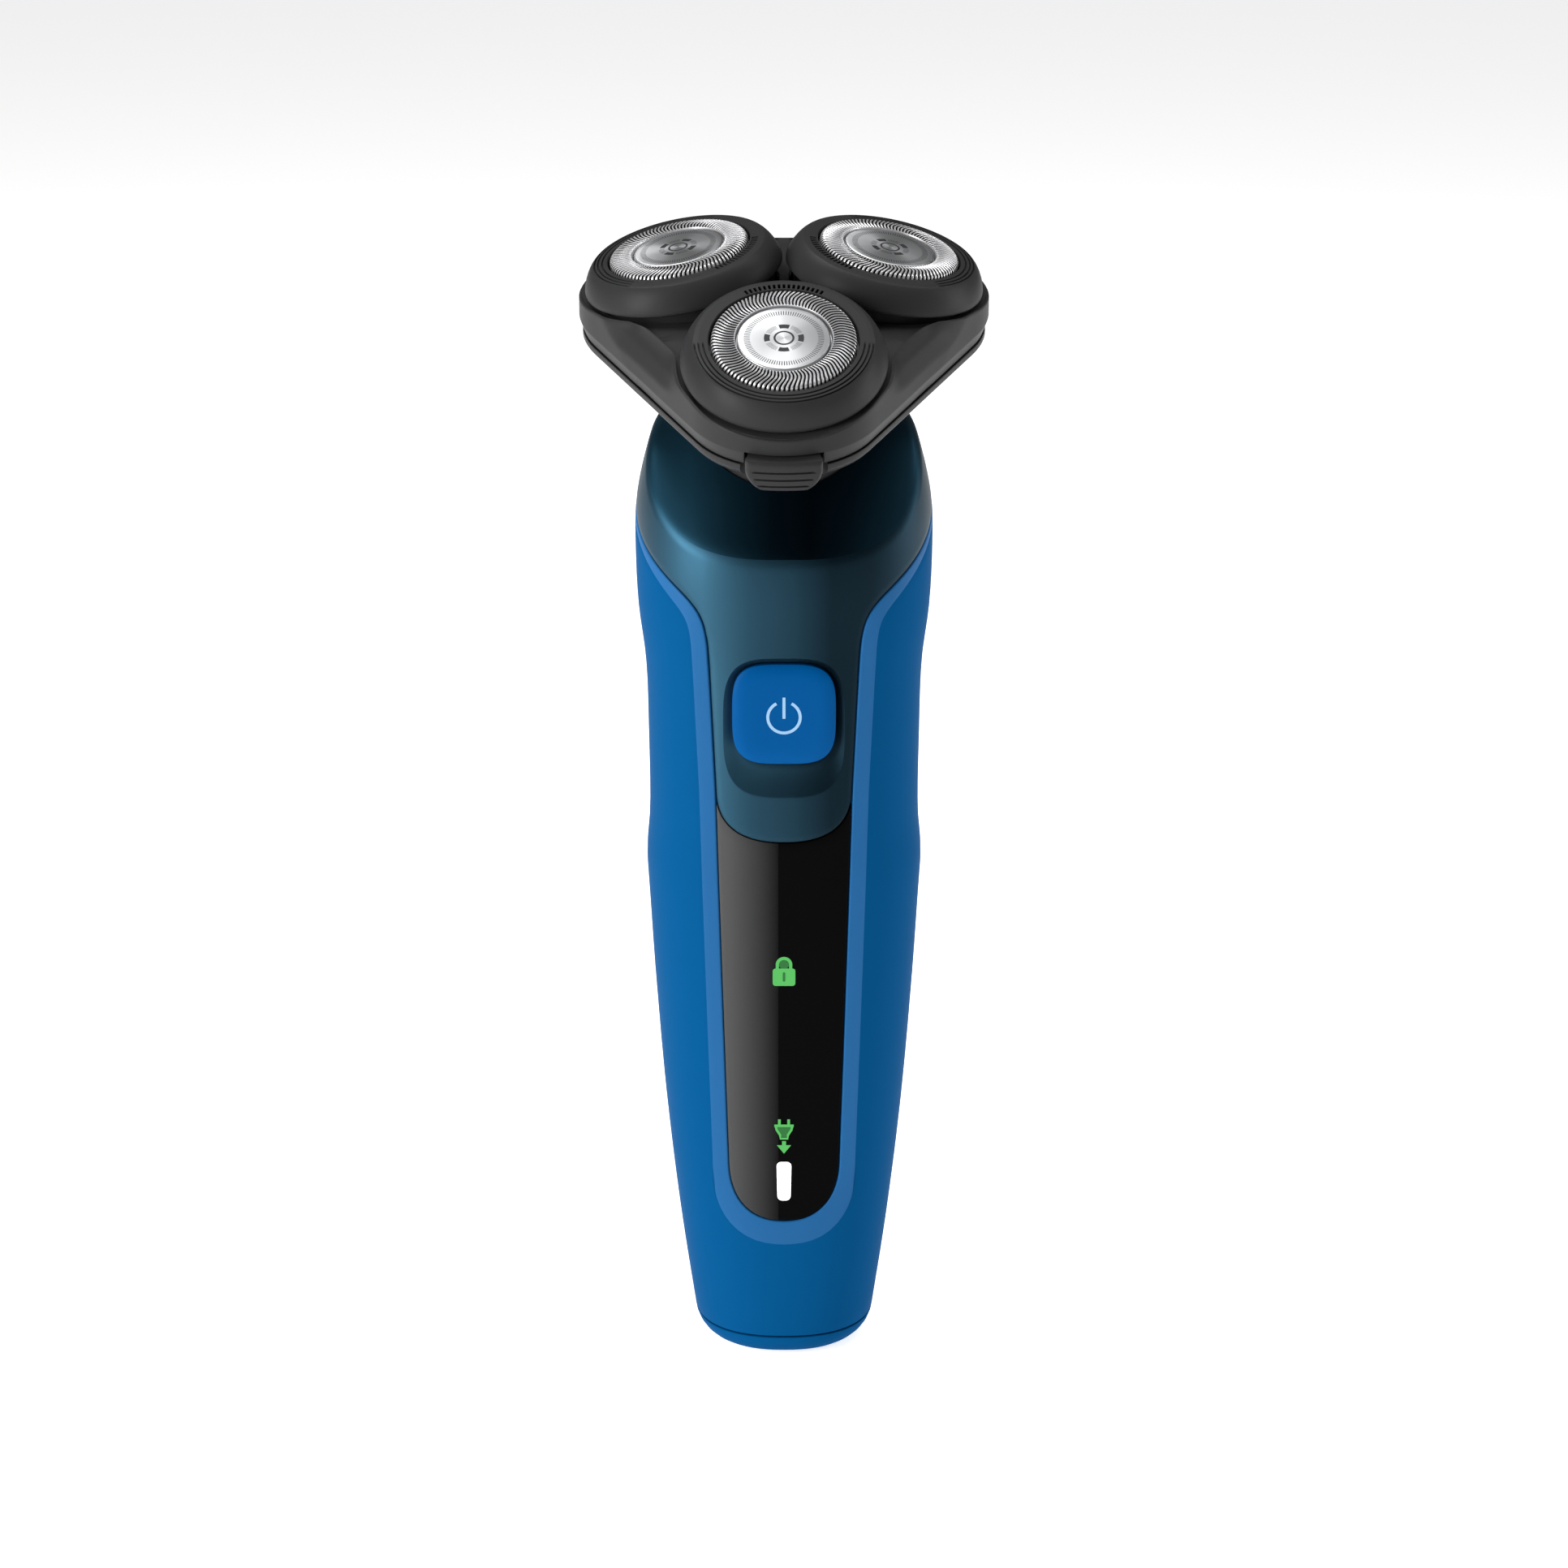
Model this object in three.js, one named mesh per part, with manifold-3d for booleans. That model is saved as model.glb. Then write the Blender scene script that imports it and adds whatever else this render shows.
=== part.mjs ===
// Cordless rotary shaver with three flexing shaving heads on a flip-open, pull-off shaving unit.
// Units are millimetres. +Z is up the handle, -Y is the front, and the origin is the centre of the flat foot.
import * as THREE from "three";
import { mergeVertices } from "three/addons/utils/BufferGeometryUtils.js";
import Module from "manifold-3d";

const wasm = await Module();
wasm.setup();

// ---------- Driving dimensions ----------
const degrees = THREE.MathUtils.degToRad;
const GAP = 0.3; // between neighbouring solids
const WALL = 1.8; // handle shells
const ROUND = 24; // sides of a round piece that shows
const INNER_ROUND = 16; // and of one inside

// Handle outline: half sizes [height, half size], before the foot is rounded.
const HALF_WIDTH = [
  [0, 13.7], [20, 16.5], [40, 18.65], [60, 20.15], [74, 20.95], [81.5, 21.3], [88, 20.8],
  [100, 20.85], [112, 21.15], [121, 22.2], [130, 22.55], [137, 22.35], [144, 20.95], [150, 18.9], [160, 13],
];
const FRONT_DEPTH = [[0, 14.6], [20, 16], [40, 17.2], [60, 18.2], [80, 18.6], [120, 19], [132, 19.2], [145, 18], [160, 14]];
const BACK_DEPTH = [[0, 13.6], [20, 16], [40, 17.6], [60, 18.4], [80, 18.4], [100, 18.8], [120, 20.3], [135, 20.6], [160, 15]];
const SECTION_POWER = 2.35; // superellipse exponent of the handle's section
const FOOT_ROUND = 4;
const HANDLE_TOP = 158;
const SHOULDER_RISE = [[-20, 131], [-15, 137.3], [-10, 143.5], [-5, 148.6], [0, 151.8], [7, 154], [14, 154], [22, 150.5]];
const SHOULDER_CROWN = 0.01; // drop of the shoulder per square of x

// Front panels, in the front view.
const TONGUE_BOTTOM = 87.8;
const TONGUE_HALF_LOW = 10.65;
const TONGUE_HALF_HIGH = 11.65;
const TONGUE_STRAIGHT_TOP = 117;
const COLLAR_LINE = 141; // height where the front shell wraps all round
const WINDOW_BOTTOM = 24.4;
const WINDOW_HALF_LOW = 8.95;
const WINDOW_TOP = 99;
const WINDOW_THICK = 1.5;
const PANEL_RECESS = 0.5; // panels sit this far under the grip
const CAP_LINE = 3.9; // seam of the base cap

const BUTTON_Z = 107.95;
const BUTTON_WIDE = 15.5;
const BUTTON_HIGH = 15.5;
const BUTTON_TRAVEL = 0.8;
const SCOOP_WIDE = 18.7;
const SCOOP_LOW = 95.1;
const SCOOP_HIGH = 116.9;
const SCOOP_DEPTH = 1.1;

// Shaving unit. Its own frame has its origin on the cap plane and +Z along the unit's axis.
const HEAD_TILT = degrees(18.2);
const HEAD_CENTRE = new THREE.Vector3(0, -8, 172.2);
const HEAD_PITCH = 18.2; // unit axis to each shaving head
const HEAD_LEAN = degrees(12.4); // each head leans outwards
const HEAD_BEARINGS = [-90, 30, 150].map(degrees);
const FLEX = degrees(4); // each head's inner edge sinks by this much
const FLEX_PIVOT = { out: 13.5, down: 2 };
const FRAME_R = 15; // corner radius of the frame's outline
const FRAME_BOTTOM = -13;
const VALLEY = -4.8;
const RING_R = 15.1;
const SKIRT_R = 13.3;
const SEAT = -4.85; // frame edge under each ring, along the head's axis
const CAP_R = 10.5;
const DISC_R = 6.7;

// Drive train.
const SPINDLE_PITCH = 16.8;
const GEAR_TEETH = 14;
const GEAR_MODULE = SPINDLE_PITCH / GEAR_TEETH;
const GEAR_TOP = -14.1;
const GEAR_THICK = 2.4;
const SPINDLE_TOP = -6.3;
const MOTOR = { r: 9.5, top: -26.7, bottom: -49 };
const COLLAR = { outer: 13, inner: 10.9, top: -19.6, bottom: -26.4 };

const SCREW_PITCH = 11.6; // unit axis to each cover screw
const MOTOR_SCREW_X = 6.6;
const BLADES = 6; // on each cutter

const HINGE = { y: 24.6, z: -13.6, r: 0.9, half: 6.3, knuckle: 1.7, middle: 4 };
const TAB = { top: -10.9, bottom: -16.5, half: 5.5, halfLow: 3.6, front: -34.9, back: -31.2 };

// Electrics in the handle.
const BOARD = { half: 9, front: -10.6, back: -9.4, bottom: 22, top: 116 };
const SOCKET = { half: 6, y0: 1.9, y1: 8.9, floor: 11, top: 13.5, halfBore: 4.7, bore0: 3.1, bore1: 7.7 };
const PIN = { x: 3.4, r: 0.65, tip: 3.5, tail: 16 };
const BATTERY = { r: 7.1, y: 3.5, bottom: 21, top: 71 };

const FRONT_REACH = -30; // ahead of everything on the front of the handle
const ARC_STEPS = 6; // straight stretches in each corner of the unit's outline

// ---------- Small tools ----------
// A smooth curve through [position, value] pairs: cubic Hermite with neighbour-to-neighbour slopes.
function smooth(keys) {
  const slope = keys.map((key, i) => {
    const before = keys[Math.max(i - 1, 0)];
    const after = keys[Math.min(i + 1, keys.length - 1)];
    return (after[1] - before[1]) / (after[0] - before[0]);
  });
  return (at) => {
    const clamped = THREE.MathUtils.clamp(at, keys[0][0], keys[keys.length - 1][0]);
    let i = 0;
    while (i < keys.length - 2 && clamped > keys[i + 1][0]) i++;
    const span = keys[i + 1][0] - keys[i][0];
    const t = (clamped - keys[i][0]) / span;
    const rise = 3 * t * t - 2 * t * t * t;
    const leave = t * (1 - t) * (1 - t) * span * slope[i];
    const arrive = t * t * (t - 1) * span * slope[i + 1];
    return keys[i][1] * (1 - rise) + keys[i + 1][1] * rise + leave + arrive;
  };
}

function solid(geometry) {
  const bare = new THREE.BufferGeometry().setAttribute(
    "position",
    (geometry.index ? geometry.toNonIndexed() : geometry).getAttribute("position"),
  );
  const merged = mergeVertices(bare, 1e-4);
  const vertProperties = merged.attributes.position.array;
  const triVerts = new Uint32Array(merged.index.array);
  const made = new wasm.Manifold(new wasm.Mesh({ numProp: 3, vertProperties, triVerts }));
  if (made.volume() > 0) return made;
  for (let i = 0; i < triVerts.length; i += 3) [triVerts[i + 1], triVerts[i + 2]] = [triVerts[i + 2], triVerts[i + 1]];
  return new wasm.Manifold(new wasm.Mesh({ numProp: 3, vertProperties, triVerts }));
}

function geometryOf(made) {
  const mesh = made.getMesh();
  const geometry = new THREE.BufferGeometry();
  geometry.setAttribute("position", new THREE.BufferAttribute(new Float32Array(mesh.vertProperties), 3));
  geometry.setIndex(new THREE.BufferAttribute(new Uint32Array(mesh.triVerts), 1));
  return geometry;
}

const unite = (...parts) => parts.reduce((whole, part) => whole.add(part));
const cut = (from, ...tools) => tools.reduce((rest, tool) => rest.subtract(tool), from);

const box = (x0, x1, y0, y1, z0, z1) =>
  new THREE.BoxGeometry(x1 - x0, y1 - y0, z1 - z0).translate((x0 + x1) / 2, (y0 + y1) / 2, (z0 + z1) / 2);

const cylinder = (r, z0, z1, x = 0, y = 0, sides = ROUND) =>
  new THREE.CylinderGeometry(r, r, z1 - z0, sides).rotateX(Math.PI / 2).translate(x, y, (z0 + z1) / 2);

const crossBar = (r, x0, x1, y, z, sides = 16) =>
  new THREE.CylinderGeometry(r, r, x1 - x0, sides).rotateZ(Math.PI / 2).translate((x0 + x1) / 2, y, z);

const frontPeg = (r, y0, y1, z) => new THREE.CylinderGeometry(r, r, y1 - y0, 12).translate(0, (y0 + y1) / 2, z);

// A turned piece about Z, from a closed outline of [radius, height].
function turned(outline, sides = ROUND) {
  const points = outline.map(([r, z]) => new THREE.Vector2(r, z));
  if (outline[0][0] > 0) points.push(points[0].clone());
  return new THREE.LatheGeometry(points, sides).rotateX(Math.PI / 2);
}

const prism = (shape, z0, z1, curveSegments = 4) =>
  new THREE.ExtrudeGeometry(shape, { depth: z1 - z0, bevelEnabled: false, curveSegments }).translate(0, 0, z0);

// A shape drawn in the front view (x across, y up), extruded from y0 back to y1.
const frontPrism = (shape, y0, y1, curveSegments = 5) =>
  new THREE.ExtrudeGeometry(shape, { depth: y1 - y0, bevelEnabled: false, curveSegments })
    .rotateX(Math.PI / 2)
    .translate(0, y1, 0);

function squircle(wide, high, centreZ = 0, power = 3.6, steps = 24) {
  const shape = new THREE.Shape();
  const round = (c) => Math.sign(c) * Math.abs(c) ** (2 / power);
  const points = Array.from({ length: steps }, (_, i) => {
    const a = ((i + 0.5) / steps) * 2 * Math.PI;
    return new THREE.Vector2((wide / 2) * round(Math.cos(a)), centreZ + (high / 2) * round(Math.sin(a)));
  });
  return shape.setFromPoints(points);
}

// ---------- Handle surface ----------
const halfWidth = smooth(HALF_WIDTH);
const frontDepth = smooth(FRONT_DEPTH);
const backDepth = smooth(BACK_DEPTH);
const shoulder = smooth(SHOULDER_RISE);
const HEIGHT_ROWS = [0, 0.8, 2.4, 5, 20, 40, 60, 74, 81.5, 88, 100, 112, 121, 130, 137, 144, 150, HANDLE_TOP];

function footRound(z) {
  if (z >= FOOT_ROUND) return 0;
  return FOOT_ROUND - Math.sqrt(FOOT_ROUND ** 2 - (FOOT_ROUND - z) ** 2);
}

// A point on the handle's side surface, moved in by inset.
function handlePoint(angle, z, inset) {
  const shrink = footRound(z) + inset;
  const c = Math.cos(angle);
  const s = Math.sin(angle);
  const depth = (s < 0 ? frontDepth(z) : backDepth(z)) - shrink;
  const x = (halfWidth(z) - shrink) * Math.sign(c) * Math.abs(c) ** (2 / SECTION_POWER);
  return new THREE.Vector3(x, depth * Math.sign(s) * Math.abs(s) ** (2 / SECTION_POWER), z);
}

// The handle as a closed tube of sections. insetAt gives how far each height lies inside the outer surface.
function handleTube(insetAt, rows = HEIGHT_ROWS, sides = 26) {
  const geometry = new THREE.CylinderGeometry(1, 1, 1, sides, rows.length - 1);
  const position = geometry.attributes.position;
  const at = new THREE.Vector3();
  for (let i = 0; i < position.count; i++) {
    at.fromBufferAttribute(position, i);
    const z = rows[Math.round((at.y + 0.5) * (rows.length - 1))];
    const onRim = Math.hypot(at.x, at.z) > 0.5;
    const spot = handlePoint(Math.atan2(at.x, at.z), z, insetAt(z));
    position.setXYZ(i, onRim ? spot.x : 0, onRim ? spot.y : 0, z);
  }
  return geometry;
}

// Everything below the shoulder surface, lowered by drop.
function underShoulder(drop) {
  const reach = 28;
  const geometry = new THREE.BoxGeometry(2 * reach, 2 * reach, 1, 4, 11, 1);
  const position = geometry.attributes.position;
  for (let i = 0; i < position.count; i++) {
    const x = position.getX(i);
    const y = position.getY(i);
    const top = shoulder(y) - SHOULDER_CROWN * x * x - drop;
    position.setZ(i, position.getZ(i) > 0 ? top : -5);
  }
  return geometry;
}

// ---------- Panel outlines in the front view ----------
// The front shell: a tongue down the handle that flares over the shoulders. grow widens it.
function tongueShape(grow) {
  const low = TONGUE_HALF_LOW + grow;
  const high = TONGUE_HALF_HIGH + grow;
  const bottom = TONGUE_BOTTOM - grow;
  const shape = new THREE.Shape();
  shape.moveTo(0, bottom);
  shape.bezierCurveTo(low * 0.62, bottom, low, bottom + 2, low, bottom + 8);
  shape.lineTo(high, TONGUE_STRAIGHT_TOP - grow);
  shape.bezierCurveTo(high + 0.2, 121.8 - grow, high + 1, 123.6 - grow, high + 3.6, 126 - grow);
  shape.bezierCurveTo(19.6 + grow, 130.2 - grow, 21.6 + grow, 132.5 - grow, 23, COLLAR_LINE - grow);
  shape.lineTo(30, COLLAR_LINE - grow);
  shape.lineTo(30, 170);
  shape.lineTo(-30, 170);
  shape.lineTo(-30, COLLAR_LINE - grow);
  shape.lineTo(-23, COLLAR_LINE - grow);
  shape.bezierCurveTo(-21.6 - grow, 132.5 - grow, -19.6 - grow, 130.2 - grow, -high - 3.6, 126 - grow);
  shape.bezierCurveTo(-high - 1, 123.6 - grow, -high - 0.2, 121.8 - grow, -high, TONGUE_STRAIGHT_TOP - grow);
  shape.lineTo(-low, bottom + 8);
  shape.bezierCurveTo(-low, bottom + 2, -low * 0.62, bottom, 0, bottom);
  return shape;
}

function windowShape(grow) {
  const low = WINDOW_HALF_LOW + grow;
  const high = TONGUE_HALF_LOW + 0.15 + grow;
  const bottom = WINDOW_BOTTOM - grow;
  const shape = new THREE.Shape();
  shape.moveTo(0, bottom);
  shape.bezierCurveTo(low * 0.6, bottom, low, bottom + 3, low, bottom + 10);
  shape.lineTo(high, WINDOW_TOP);
  shape.lineTo(-high, WINDOW_TOP);
  shape.lineTo(-low, bottom + 10);
  shape.bezierCurveTo(-low, bottom + 3, -low * 0.6, bottom, 0, bottom);
  return shape;
}

const frontRegion = (grow) =>
  unite(
    solid(frontPrism(tongueShape(grow), FRONT_REACH, 0)),
    solid(box(-30, 30, -1, 30, COLLAR_LINE - grow, 170)),
  );

const headMatrix = new THREE.Matrix4().makeRotationX(HEAD_TILT).setPosition(HEAD_CENTRE);
const inHandle = (geometry) => solid(geometry.applyMatrix4(headMatrix));

// ---------- Handle pieces ----------
const INNER_ROWS = HEIGHT_ROWS.map((z) => Math.max(z, WALL + 0.4)).filter((z, i, all) => all.indexOf(z) === i);
const handleOuter = solid(handleTube(() => 0)).intersect(solid(underShoulder(0)));
const handleInner = solid(handleTube(() => WALL, INNER_ROWS)).intersect(solid(underShoulder(WALL)));
const handleShell = handleOuter.subtract(handleInner);

// The panels are recessed low down and come flush where the shoulders begin.
const recessAt = (z) => PANEL_RECESS * (1 - THREE.MathUtils.smoothstep(z, 114, 130));
const panelOuter = solid(handleTube(recessAt)).intersect(solid(underShoulder(0)));

const baseCap = () =>
  cut(
    handleShell.intersect(solid(box(-30, 30, -30, 30, -1, CAP_LINE))),
    solid(box(-SOCKET.half - GAP, SOCKET.half + GAP, SOCKET.y0 - GAP, SOCKET.y1 + GAP, -1, CAP_LINE + 1)),
  );

const gripShell = () =>
  cut(
    handleShell,
    solid(box(-30, 30, -30, 30, -1, CAP_LINE + GAP)),
    frontRegion(GAP),
    solid(frontPrism(windowShape(GAP), FRONT_REACH, 0)),
  );

const scoopShape = () => squircle(SCOOP_WIDE, SCOOP_HIGH - SCOOP_LOW, (SCOOP_HIGH + SCOOP_LOW) / 2);
const buttonShape = (grow) => squircle(BUTTON_WIDE + 2 * grow, BUTTON_HIGH + 2 * grow, BUTTON_Z);

const frontShell = () =>
  cut(
    panelOuter.subtract(handleInner).intersect(frontRegion(0)),
    solid(frontPrism(scoopShape(), FRONT_REACH, SCOOP_DEPTH - frontDepth(BUTTON_Z) + PANEL_RECESS)),
    solid(frontPrism(buttonShape(GAP), FRONT_REACH, -10)),
    inHandle(cylinder(COLLAR.outer + GAP, -34, -10)),
  );

const displayWindow = () =>
  cut(
    panelOuter.intersect(solid(frontPrism(windowShape(0), FRONT_REACH, 0))),
    solid(handleTube((z) => recessAt(z) + WINDOW_THICK)),
    frontRegion(GAP),
  );

const BUTTON_FACE = -(frontDepth(BUTTON_Z) - PANEL_RECESS + 0.05);
const FLANGE_FRONT = -(frontDepth(BUTTON_Z) - WALL - GAP - 1.5);
const FLANGE_BACK = FLANGE_FRONT + 0.8;
const powerButton = () =>
  unite(
    solid(frontPrism(buttonShape(0), BUTTON_FACE, FLANGE_FRONT + 0.6)),
    solid(frontPrism(squircle(BUTTON_WIDE + 2, BUTTON_HIGH + 2, BUTTON_Z), FLANGE_FRONT, FLANGE_BACK)),
  );

// ---------- Electrics in the handle ----------
const circuitBoard = () => solid(box(-BOARD.half, BOARD.half, BOARD.front, BOARD.back, BOARD.bottom, BOARD.top));
const powerSwitch = () =>
  unite(
    solid(box(-3, 3, BOARD.front - 2.4, BOARD.front - GAP, BUTTON_Z - 3, BUTTON_Z + 3)),
    solid(frontPeg(1.5, FLANGE_BACK + BUTTON_TRAVEL + GAP, BOARD.front - 2, BUTTON_Z)),
  );

const lightGuide = (half, z0, z1) => {
  const behindWindow = -(frontDepth((z0 + z1) / 2) - PANEL_RECESS - WINDOW_THICK - GAP - 0.1);
  return solid(box(-half, half, behindWindow, BOARD.front - GAP, z0, z1));
};

const chargeSocket = () =>
  cut(
    unite(
      solid(box(-SOCKET.half, SOCKET.half, SOCKET.y0, SOCKET.y1, 0.2, SOCKET.top)),
      solid(box(-SOCKET.half - 1.2, SOCKET.half + 1.2, SOCKET.y0, SOCKET.y1, 2.5, 3.9)),
    ),
    solid(box(-SOCKET.halfBore, SOCKET.halfBore, SOCKET.bore0, SOCKET.bore1, -1, SOCKET.floor)),
    ...[-1, 1].map((side) => solid(cylinder(PIN.r + GAP, 9, 20, side * PIN.x, (SOCKET.y0 + SOCKET.y1) / 2, 16))),
  );
const socketPin = (side) => solid(cylinder(PIN.r, PIN.tip, PIN.tail, side * PIN.x, (SOCKET.y0 + SOCKET.y1) / 2, 16));

const batteryCell = () =>
  unite(
    solid(cylinder(BATTERY.r, BATTERY.bottom, BATTERY.top - 1, 0, BATTERY.y)),
    solid(cylinder(2.8, BATTERY.top - 1.2, BATTERY.top, 0, BATTERY.y, 20)),
  );
const batteryContact = (z0, z1) => solid(box(-3, 3, BOARD.back + 2.3, BATTERY.y + 4, z0, z1));

// The chassis: a spine plate behind the circuit board, with two rails, a battery shelf and a motor shelf.
const chassis = () => {
  const spine = { front: BOARD.back + GAP, back: BOARD.back + 1.7 };
  const rail = (side, z0, z1, half) =>
    solid(box(Math.min(side * half, side * (half - 1.4)), Math.max(side * half, side * (half - 1.4)), spine.front, 6, z0, z1));
  return unite(
    solid(box(-9.6, 9.6, spine.front, spine.back, 17.4, 112)),
    ...[-1, 1].flatMap((side) => [rail(side, 17.4, 76, 9.6), rail(side, 76, 112, 9.6)]),
    solid(box(-9.6, 9.6, spine.front, 10, 17.4, 18.9)),
    solid(box(-9.6, 9.6, spine.front, 10, 74.4, 76)),
  );
};

const baseSeal = () => {
  const rows = [CAP_LINE + 1.2, CAP_LINE + 2.6];
  return cut(
    solid(handleTube(() => WALL + GAP, rows)),
    solid(handleTube(() => WALL + GAP + 1.2, [rows[0] - 1, rows[1] + 1])),
  );
};

// ---------- Motor and neck, about the unit's axis ----------
const motorScrewHole = (side) => solid(cylinder(0.8 + GAP, MOTOR.top - 3, -24, side * MOTOR_SCREW_X, 0, 8));
const motorCan = () =>
  cut(
    solid(cylinder(MOTOR.r, MOTOR.bottom + 1.8, MOTOR.top)),
    solid(cylinder(2.6, MOTOR.top - 2, MOTOR.top + 1, 0, 0, 16)),
    motorScrewHole(-1),
    motorScrewHole(1),
  );
const motorEndCap = () => solid(cylinder(MOTOR.r - 0.6, MOTOR.bottom, MOTOR.bottom + 1.8 - GAP));
const motorShaft = () =>
  unite(
    solid(cylinder(1.1, MOTOR.top - 1.6, -19.5, 0, 0, INNER_ROUND)),
    solid(new THREE.CylinderGeometry(1.9, 1.9, 3.4, 6).rotateX(Math.PI / 2).translate(0, 0, -20.2)),
  );
const neckCollar = () =>
  cut(
    solid(turned([
      [COLLAR.inner, COLLAR.top], [COLLAR.outer, COLLAR.top], [COLLAR.outer, COLLAR.bottom],
      [2.2, COLLAR.bottom], [2.2, COLLAR.bottom + 1.3], [COLLAR.inner, COLLAR.bottom + 1.3],
    ], INNER_ROUND)),
    motorScrewHole(-1),
    motorScrewHole(1),
  );
const shaftSeal = () =>
  solid(turned([[1.5, -24.7], [4.6, -24.7], [4.6, -23.9], [2.6, -22.9], [1.5, -22.9]], 12));
const motorScrew = (side) =>
  unite(
    solid(cylinder(1.6, -24.7, -23.8, side * MOTOR_SCREW_X, 0, 12)),
    solid(cylinder(0.8, MOTOR.top - 2.4, -24.5, side * MOTOR_SCREW_X, 0, 8)),
  );

// ---------- Shaving unit outlines ----------
// The rounded triangle round the three heads, as three arcs of radius r about points at pitch.
function triangleShape(r, pitch = HEAD_PITCH) {
  const shape = new THREE.Shape();
  HEAD_BEARINGS.forEach((bearing) => {
    const x = pitch * Math.cos(bearing);
    const y = pitch * Math.sin(bearing);
    shape.absarc(x, y, r, bearing - Math.PI / 3, bearing + Math.PI / 3, false);
  });
  return shape;
}

// A stack of rounded triangles [height, corner radius, pitch], skinned from the lowest to the highest.
function triangleStack(levels) {
  const outline = triangleShape(10).getPoints(ARC_STEPS);
  const count = new Set(outline.map((p) => `${p.x.toFixed(4)},${p.y.toFixed(4)}`)).size;
  const geometry = new THREE.CylinderGeometry(1, 1, 1, count, levels.length - 1);
  const position = geometry.attributes.position;
  const rings = levels.map(([, r, pitch]) => {
    const points = triangleShape(r, pitch).getPoints(ARC_STEPS);
    return points.slice(0, count);
  });
  const at = new THREE.Vector3();
  for (let i = 0; i < position.count; i++) {
    at.fromBufferAttribute(position, i);
    const level = Math.round((at.y + 0.5) * (levels.length - 1));
    const turn = THREE.MathUtils.euclideanModulo(Math.atan2(at.x, at.z) / (2 * Math.PI), 1);
    const spot = rings[level][Math.round(turn * count) % count];
    const onRim = Math.hypot(at.x, at.z) > 0.5;
    position.setXYZ(i, onRim ? spot.x : 0, onRim ? spot.y : 0, levels[level][0]);
  }
  return geometry;
}

// Places a geometry drawn about a head's axis into the unit's frame. sink turns it about its flex pivot.
function atHead(geometry, bearing, sink = 0) {
  const pivot = new THREE.Vector3(FLEX_PIVOT.out, 0, -FLEX_PIVOT.down);
  const flex = new THREE.Matrix4().makeTranslation(pivot)
    .multiply(new THREE.Matrix4().makeRotationY(-sink))
    .multiply(new THREE.Matrix4().makeTranslation(pivot.clone().negate()));
  const place = new THREE.Matrix4().makeRotationZ(bearing)
    .multiply(new THREE.Matrix4().makeTranslation(HEAD_PITCH, 0, 0))
    .multiply(new THREE.Matrix4().makeRotationY(HEAD_LEAN));
  return solid(geometry.applyMatrix4(place.multiply(flex)));
}

const spindleSpot = (bearing) => [SPINDLE_PITCH * Math.cos(bearing), SPINDLE_PITCH * Math.sin(bearing)];

// ---------- Shaving unit: upper frame ----------
const headFrame = () => {
  const hull = solid(triangleStack([[FRAME_BOTTOM, FRAME_R, HEAD_PITCH], [6, FRAME_R, HEAD_PITCH]]));
  const leaning = solid(triangleStack([
    [FRAME_BOTTOM, FRAME_R, HEAD_PITCH], [-8.4, FRAME_R, HEAD_PITCH], [-6, FRAME_R - 1.2, HEAD_PITCH], [VALLEY, FRAME_R - 3, HEAD_PITCH],
  ]));
  const collars = HEAD_BEARINGS.map((bearing) =>
    atHead(turned([[0, SEAT], [15.7, SEAT], [16.9, -9], [16.9, -14], [0, -14]]), bearing)
      .intersect(atHead(box(-3, 30, -30, 30, -30, 10), bearing)));
  const inside = solid(triangleStack([
    [FRAME_BOTTOM - 1, FRAME_R - 1.3, HEAD_PITCH], [-9, FRAME_R - 1.3, HEAD_PITCH], [VALLEY - 1.5, FRAME_R - 4.6, HEAD_PITCH],
  ]));
  const holes = HEAD_BEARINGS.flatMap((bearing) => [
    atHead(cylinder(SKIRT_R + 0.9, -16, 0), bearing, FLEX / 2),
    atHead(cylinder(RING_R + 0.9, SEAT, 8), bearing, FLEX),
  ]);
  const knuckle = unite(
    solid(crossBar(HINGE.knuckle, -HINGE.middle, HINGE.middle, HINGE.y, HINGE.z)),
    solid(box(-HINGE.middle, HINGE.middle, HINGE.y - 2, HINGE.y + 0.5, HINGE.z, -10.5)),
  );
  return cut(
    unite(cut(hull.intersect(unite(leaning, ...collars)), inside, ...holes), knuckle),
    solid(crossBar(HINGE.r + GAP, -9, 9, HINGE.y, HINGE.z)),
    ...[-1, 1].map((side) => {
      const ends = [side * HINGE.middle, side * (HINGE.half + 0.6)].sort((a, b) => a - b);
      return solid(box(...ends, HINGE.y - 2.4, 40, -20, -11.4));
    }),
    solid(box(-TAB.half - GAP, TAB.half + GAP, -40, TAB.back + 1.8, -20, TAB.top + GAP)),
  );
};

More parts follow.
